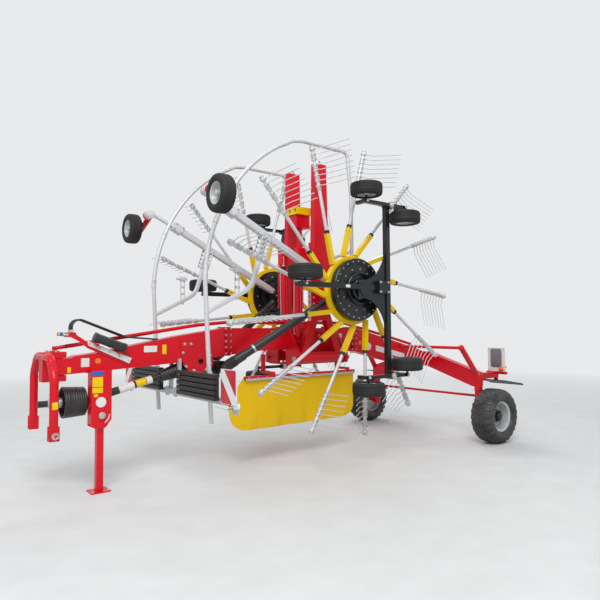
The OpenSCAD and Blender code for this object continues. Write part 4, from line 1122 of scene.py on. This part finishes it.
tube_along = np.array([np.cos(TUBE_TURN), np.sin(TUBE_TURN), 0])
tube_across = np.array([-tube_along[1], tube_along[0], 0])
foot_line, hoop_line = hoop_points()
hoop = tube(np.column_stack([hoop_line, np.full(len(hoop_line), HOOP_Z)]), 0.025, 20)
stay_foot = foot_line[0] + 0.775 * (hoop_line[FOOT_STEPS] - foot_line[0])
stay_top = 1.3426 * tube_along[:2]
stay_line = bent_line(np.array([stay_foot, [HOOP_R - 0.590, -0.010], stay_top]), 0.26, 12, 8)
guard_arm = joined(square_tube(along_tube([0.1503, 0.30, 0.60, 0.90, 1.20, 1.50, 1.80]), TUBE_W,
                               TUBE_W, 0.010),
                   square_tube(along_tube([1.70, 1.85, 1.925]), 0.060, 0.060))
both("guard_hoop", on_rotor(hoop), tube_zinc, "carriage_*", 50)
both("guard_stay", on_rotor(square_tube(stay_line, 0.052, 0.044)), tube_zinc, "carriage_*")
both_replace(both("guard_arm", on_rotor(guard_arm), tube_zinc, "carriage_*"), "guard")
print("hoop length", round(float(np.linalg.norm(np.diff(hoop_line, axis=0), axis=1).sum()), 3))

# %% [markdown]
# The castor of the sensing wheel hangs under a short arm at the tube's end. A bolted box clamps that
# arm, and the castor's head is a short drum with a round-edged lid. Box, arm and drum don't move on
# each other, so they are one piece here.

# %% Castor head
castor_root = tube_along * 1.880 + [0, 0, HOOP_Z]
castor_head = np.array([2.010, 1.010, 0.060])
arm_end = castor_head + [-0.060, 0, 0.060]
end_box = square_tube(along_tube([1.795, 1.86, 1.935]), 0.112, 0.112, 0.010)
short_arm = tube([castor_root, castor_root * 0.5 + arm_end * 0.5, arm_end], 0.034, 20)
head_drum = revolve([(0.047, -0.020), (0.055, -0.014), (0.055, 0.086), (0.050, 0.094),
                     (0.030, 0.097), (0.028, 0.100)], 36)
castor_arm = joined(end_box, short_arm, moved(head_drum, placed(castor_head, UP)[0]))
both("castor_arm", on_rotor(castor_arm), tube_zinc, "carriage_*")
box_bolts = [placed(tube_along * x + tube_across * y + [0, 0, HOOP_Z + k * 0.056], (0, 0, k))[0]
             for x in (1.815, 1.915) for y in (-0.040, 0.040) for k in (-1, 1)]
steel_bolts("castor_bolts", on_rotor(copies(bolt_head(0.018), box_bolts)), "carriage_*")
print("castor box bolts", len(box_bolts))

# %% [markdown]
# The hoops are tubes pushed into one another, with a sleeve and a clamp screw at each joint. The
# sleeve is a turned ring with a raised bead, set down along the hoop.

# %% Hoop joints


def on_hoop(degrees):
    """A point on the hoop and the hoop's direction there, in the rotor's frame."""
    a = np.radians(degrees)
    return (np.array([HOOP_R * np.cos(a), HOOP_R * np.sin(a), HOOP_Z]),
            np.array([-np.sin(a), np.cos(a), 0]))


joint_sleeve = ring([(0.0245, -0.060), (0.0290, -0.058), (0.0290, -0.004), (0.0320, 0.0),
                     (0.0290, 0.004), (0.0290, 0.058), (0.0245, 0.060)], 24)
sleeve_places = [placed(*on_hoop(degrees))[0] for degrees in (3, 22, 63)]
sleeve_places += [placed([1.925, -1.000, HOOP_Z], (0.053, 0.9986, 0))[0],
                  placed([0.100, 1.850, HOOP_Z], AHEAD)[0]]
both("hoop_sleeves", on_rotor(copies(joint_sleeve, sleeve_places)), tube_zinc, "carriage_*")
screw_at = placed([0.029, 0, 0.03], AHEAD)[0]
clamp_screws = copies(bolt_head(0.012), [place @ screw_at for place in sleeve_places])
steel_bolts("hoop_screws", on_rotor(clamp_screws), "carriage_*")
print("sleeves a hoop", len(sleeve_places))

# %% [markdown]
# Where the bent stay meets the square tube, the real guard has perforated plates on both sides, with
# through bolts. A slotted strut with a screw clamp stands on the stay's lower run, and another slotted
# bar hangs on each lift carriage. Cutting holes with Booleans leaves untidy faces, so the slots are
# the gaps between rails and short rungs.

# %% Perforated plates and slotted struts


def slotted_strip(width, length, slots, thickness, rails=2):
    """Rails along X and rungs across them, so that slots show through between neighbours."""
    rail_w = width * 0.36 / rails
    rail = plate(length, rail_w, rail_w * 0.3, thickness)
    rung = plate(length * 0.30 / slots, width * 0.94, length * 0.05 / slots, thickness)
    y = np.linspace(-0.5, 0.5, rails) * (width - rail_w)
    x = np.linspace(-0.5, 0.5, slots + 1) * length * (1 - 0.30 / slots)
    return joined(copies(rail, placed(np.column_stack([0 * y, y, 0 * y]), UP, AHEAD)),
                  copies(rung, placed(np.column_stack([x, 0 * x, 0 * x]), UP, AHEAD)))


stay_up = np.append(stay_line[-1] - stay_line[-2], 0)
stay_up = stay_up / np.linalg.norm(stay_up)
stay_aside = np.cross([0, 0, 1], stay_up)
plate_mid = np.append(stay_top, HOOP_Z) - stay_up * 0.130
side_z = TUBE_W / 2 + 0.0005
fan_plates = copies(slotted_strip(0.130, 0.300, 5, 0.006, 3),
                    [placed(plate_mid + [0, 0, k * side_z], (0, 0, k), stay_up)[0] for k in (-1, 1)])
rod_half = np.array([0, 0, 0.055])
rod_mids = [plate_mid + stay_up * x + stay_aside * y for x in (0.115, -0.115) for y in (-0.050, 0.050)]
rods = [tube([middle - rod_half, middle + rod_half], 0.006, 8) for middle in rod_mids]
both("stay_plates", on_rotor(joined(fan_plates, *rods)), tube_zinc, "carriage_*")
strut = joined(moved(slotted_strip(0.062, 0.300, 3, 0.008),
                     placed([1.583, 0.030, HOOP_Z - 0.004], UP, LEFT)[0]),
               tube([[1.583, -0.155, HOOP_Z], [1.583, -0.110, HOOP_Z]], 0.016, 14),
               tube([[1.520, 0.185, HOOP_Z], [1.675, 0.185, HOOP_Z]], 0.015, 14),
               square_tube(np.array([[1.545, 0.185], [1.621, 0.185]]), 0.062, 0.050))
both("stay_strut", on_rotor(strut), tube_zinc, "carriage_*")
lock_bar = moved(slotted_strip(0.056, 0.640, 9, 0.008), placed(row(2610.4, 300, 2095), AHEAD, UP)[0])
both("lock_bar", lock_bar, tube_zinc, "carriage_*")
lock_bolts = [row(2618.4, 300, z) for z in (2050, 2290, 2390)]
steel_bolts("lock_bolts", bolts(0.020, lock_bolts, AHEAD), "carriage_*")
print("plate rods a side", len(rods), "lock bolts", len(lock_bolts))

# %% [markdown]
# ## Link pins and headstock fittings
# Grey link balls with lynch pins sit on the lower link pins. These are the parts that a hand touches
# every day, so they stay bare steel. The top of the headstock has a plate with two rows of bolts, and
# one of its legs a small blank tag.

# %% Headstock fittings
ball = ring([(0.0145, -0.022), (0.0260, -0.022), (0.0330, -0.012), (0.0350, 0.0), (0.0330, 0.012),
             (0.0260, 0.022), (0.0145, 0.022)], 28)
steel_bolts("link_balls", moved(ball, placed(row(5825, 498, 675), LEFT)[0]), "hitch")
lynch = ring([(0.0200, -0.003), (0.0240, -0.005), (0.0270, 0.0), (0.0240, 0.005), (0.0200, 0.003)], 20)
both("lynch_pins", moved(lynch, placed(row(5825, 529, 687), (0.2, 1, 0.1))[0]), galvanised, "hitch")
piece("leg_tag", plate_at((0.052, 0.070, 0.006, 0.002), row(5825, 466.2, 955), LEFT, AHEAD),
      yellow_paint, "hitch")
headstock_bolts = [row(x, y, 1450.2) for x in (5720, 5790) for y in (-50, 50)]
piece("head_bolts", bolts(0.024, headstock_bolts, UP), bolt_steel, "hitch")
print("headstock bolts", len(headstock_bolts))

# %% [markdown]
# ## Parked couplers, document tube and stand
# The hoses end in couplers that are parked in the guide head, under coloured caps which tell the
# circuits apart. The document tube has black caps, the stand's foot plate is bolted, and its pin ends
# in two round caps. All of these are turned profiles, set down at their places.

# %% Couplers and caps
PARKED_AXIS = (1, 0, 0.15)
coupler = revolve([(0.013, 0.0), (0.013, 0.030), (0.017, 0.034), (0.017, 0.060), (0.012, 0.066)], 12)
ferrule = ring([(0.0085, 0.0), (0.0125, 0.0), (0.0130, 0.020), (0.0110, 0.026), (0.0085, 0.026)], 16)
cap = revolve([(0.019, 0.0), (0.020, 0.020), (0.014, 0.026)], 14)
hose_ends = [row(5575, side, 1650.3) for side in HOSE_SIDES]
parked = np.array([row(5610.5, side, 1622) for side in HOSE_SIDES])
cap_places = parked + [0.058, 0, 0.009]
piece("hose_ferrules", copies(ferrule, placed(hose_ends, UP)), bolt_steel, "frame")
piece("hose_couplers", copies(coupler, placed(parked, PARKED_AXIS)), bolt_steel, "frame")
for colour, places, finish, slot in (("red", cap_places[:2], red_paint, "red_paint"),
                                     ("yellow", cap_places[2:4], yellow_paint, "yellow_paint"),
                                     ("blue", cap_places[4:], blue_paint, "board")):
    piece(f"coupler_caps_{colour}", copies(cap, placed(places, PARKED_AXIS)), finish, "frame")
print("parked couplers", len(parked))

# %% Document tube and stand
document_caps = [sleeve(row(5040, 150, 1473), row(5372, 150, 1602), [low, high], [0.051, 0.051])
                 for low, high in ((0.0, 0.10), (0.90, 1.0), (0.45, 0.50))]
piece("document_caps", joined(*document_caps), black_plastic, "frame")
foot_bolts = [row(5310 + x, 158 + y, 12.2) for x in (-75, 75) for y in (-65, 65)]
piece("foot_bolts", bolts(0.018, foot_bolts, UP), bolt_steel, "stand")
pin_caps = placed([row(5310, 76, 790), row(5310, 240, 790)], [RIGHT, LEFT])
piece("stand_pin_caps", copies(keeper, pin_caps), bolt_steel, "stand")
print("caps on the document tube", len(document_caps), "foot bolts", len(foot_bolts))

# %% [markdown]
# ## The swath cloth
# A yellow coated cloth hangs from a red bar on the machine's left and stops the thrown crop. It is cut
# with round lower corners, hangs almost flat, and has slow upright folds that grow towards its free
# lower edge. Simulated cloth would fall the same way from a straight bar, so a formula is enough. The
# sheet is a grid: along it runs x, and up each column the height goes from the cut lower edge to the
# upper edge. A fold moves a point sideways by a sine of x times the square of its depth.

# %% Swath cloth
CLOTH_TOP = 1.095
CLOTH_W, CLOTH_H, CLOTH_T = 1.996, 0.650, 0.0025
COLUMNS, ROWS = 180, 40
LOWER_EDGE = np.array([(1850, 600), (1865, 550), (1900, 505), (1960, 475), (2080, 458), (3560, 445),
                       (3650, 452), (3730, 480), (3790, 530), (3826, 600), (3846, 690)]) / 1000
UPPER_EDGE = np.array([(1850, 1095), (3640, 1095), (3706, 1010), (3800, 860), (3844, 777),
                       (3846, 755)]) / 1000


def cloth_side(x, z):
    """Sideways place of the cloth: folds of two wavelengths that grow with the square of the depth
    below the bar."""
    depth = np.clip((CLOTH_TOP - z) / CLOTH_H, 0, 1) ** 2
    slow = np.sin(x * 2 * np.pi / 0.43 + 0.6 + 1.5 * np.sin(x * 2.3))
    quick = np.sin(x * 2 * np.pi / 0.19 + 2.0 * z)
    return 0.311 - depth * (0.010 + 0.0075 * slow + 0.0030 * quick)


cloth_x = LOWER_EDGE[0, 0] + CLOTH_W * (0.5 - 0.5 * np.cos(np.linspace(0, np.pi, COLUMNS)))
low_edge, top_edge = (np.interp(cloth_x, line[:, 0], line[:, 1]) for line in (LOWER_EDGE, UPPER_EDGE))
sheet_z = low_edge + (top_edge - low_edge) * np.linspace(0, 1, ROWS)[:, None]
sheet_x = np.broadcast_to(cloth_x, sheet_z.shape)
front = np.stack([sheet_x + AXLE_X, cloth_side(sheet_x, sheet_z), sheet_z], -1)
back = front - [0, CLOTH_T, 0]
count = COLUMNS * ROWS
faces = grid_faces(ROWS, COLUMNS, False, False)
edge = np.concatenate([np.arange(COLUMNS), np.arange(1, ROWS) * COLUMNS + COLUMNS - 1,
                       (ROWS - 1) * COLUMNS + np.arange(COLUMNS - 2, -1, -1),
                       np.arange(ROWS - 2, 0, -1) * COLUMNS])
following = np.roll(edge, -1)
rim = np.stack([edge, edge + count, following + count, following], -1)
cloth_mesh = (np.vstack([front.reshape(-1, 3), back.reshape(-1, 3)]),
              np.vstack([faces, faces[:, ::-1] + count, rim]))
print("cloth points", 2 * count)

# %% [markdown]
# The cloth is yellow plastic-coated fabric. A fine weave shows as a bump of crossed sines, and dirt has
# splashed up from the ground along its lower edge, more where a noise is high.

# %% Cloth finish
CLOTH_YELLOW = (0.80, 0.50, 0.0)
WEAVE = 2600.0
cloth_finish = Finish("curtain_cloth", CLOTH_YELLOW, 0.5, specular=0.25)
above = cloth_finish.axis("Z")
splash = ((0.72 - above) * 1.6 + cloth_finish.noise(7.0, 6.0) * 0.9 - 0.62).clamped()
wash = (cloth_finish.noise(1.6, 3.0) * 1.4 - 0.5).clamped() * 0.25
shade = cloth_finish.blend(wash, CLOTH_YELLOW, (0.74, 0.42, 0.004))
cloth_finish.color(cloth_finish.blend(splash * 0.45, shade, (0.46, 0.30, 0.05)))
cloth_finish.rough(splash * 0.3 + 0.44)
weave = (cloth_finish.axis("X") * WEAVE).sine() * (above * WEAVE).sine()
creases = cloth_finish.noise(5.0, 2.0) * 6.0
cloth_finish.bump(weave * 0.3 + cloth_finish.noise(30.0, 4.0) + creases, 0.25, 0.0025)
curtain = piece("curtain_sheet", cloth_mesh, cloth_finish.material, "frame", 60)
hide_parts("swath_curtain")

# %% [markdown]
# A flat zinc strip is screwed on along the cloth's upper edge, on the face that the camera sees.

# %% Clamping strip
piece("cloth_strip", plate_at((1.780, 0.028, 0.004, 0.003), row(2745, 345.3, 1058), LEFT, AHEAD),
      galvanised, "frame")
cloth_screws = [row(x, 348, 1080) for x in np.linspace(1900, 3590, 14)]
piece("cloth_screws", bolts(0.010, cloth_screws, LEFT), bolt_steel, "frame")
print("cloth screws", len(cloth_screws))

# %% [markdown]
# ## A pale floor and soft light
# An overcast sky lights paint softly from all sides, with weak shadows. A large pale floor, a plain
# world and two broad lamps do the same here. The world shows its pale grey only to the camera and in
# reflections, and lights with a weaker, cooler colour, so the paint doesn't wash out. The floor fades
# into the same grey far behind the machine.

# %% World and lamps
PALE = (0.81, 0.82, 0.83)
DAYLIGHT = (0.90, 0.95, 1.0)
AIM = (0, 0, 1.5)
LAMP_WIDTH = 7.0


def pale_world(strength):
    """A world that lights at one strength but looks pale to the camera and to reflections."""
    world = bpy.data.worlds.new("sky")
    world.use_nodes = True
    sky = Graph(world.node_tree)
    sky.tree.nodes.clear()
    rays = [sky.node("ShaderNodeLightPath", {}, {}, f"Is {kind} Ray")
            for kind in ("Camera", "Glossy", "Transmission")]
    light = sky.node("ShaderNodeBackground", {}, {"Color": (*DAYLIGHT, 1), "Strength": strength})
    backdrop = sky.node("ShaderNodeBackground", {}, {"Color": (*PALE, 1), "Strength": 1.0})
    shown = sky.node("ShaderNodeMixShader", {},
                     {0: rays[0].larger(rays[1]).larger(rays[2]), 1: light, 2: backdrop})
    sky.feed(shown, sky.tree.nodes.new("ShaderNodeOutputWorld").inputs["Surface"])
    return world


def area_lamp(name, place, power):
    """A square lamp that looks from its place to the machine's middle."""
    data = bpy.data.lights.new(name, "AREA")
    data.size, data.energy = LAMP_WIDTH, power
    lamp = bpy.data.objects.new(name, data)
    bpy.context.collection.objects.link(lamp)
    lamp.matrix_world = Matrix(placed(place, np.subtract(place, AIM), UP)[0].tolist())


bpy.context.scene.world = pale_world(0.62)
bpy.context.scene.view_settings.view_transform = "Standard"
area_lamp("sky_left", (6.0, 7.5, 10.0), 1150)
area_lamp("sky_right", (-6.0, -8.0, 9.0), 500)
print("lamps", len(bpy.data.lights))

# %% The floor
HALF = 60                            # metres from the middle to each side
floor_mesh = bpy.data.meshes.new("floor")
floor_mesh.from_pydata([(-HALF, -HALF, 0), (HALF, -HALF, 0), (HALF, HALF, 0), (-HALF, HALF, 0)], [],
                       [(0, 1, 2, 3)])
floor = bpy.data.objects.new("floor", floor_mesh)
bpy.context.collection.objects.link(floor)
ground = Finish("pale_floor", (0.66, 0.66, 0.65), 0.8)
ground.color(ground.blend(ground.noise(3.0, 8.0), (0.60, 0.60, 0.59), (0.72, 0.72, 0.71)))
distance = ground.node("ShaderNodeVectorMath", {"operation": "LENGTH"}, {0: ground.place}, "Value")
to_camera = ground.node("ShaderNodeLightPath", {}, {}, "Is Camera Ray")
# the fade begins 6.8 m from the middle and is full at 15.9 m
far = (distance * 0.11 - 0.75).clamped() * to_camera
glow = ground.node("ShaderNodeEmission", {}, {"Color": (*PALE, 1), "Strength": 1.0})
faded = ground.node("ShaderNodeMixShader", {},
                    {0: far, 1: Wire(ground, ground.shader.outputs[0]), 2: glow})
ground.feed(faded, ground.tree.nodes["Material Output"].inputs["Surface"])
floor_mesh.materials.append(ground.material)
print("floor", 2 * HALF, "m wide")
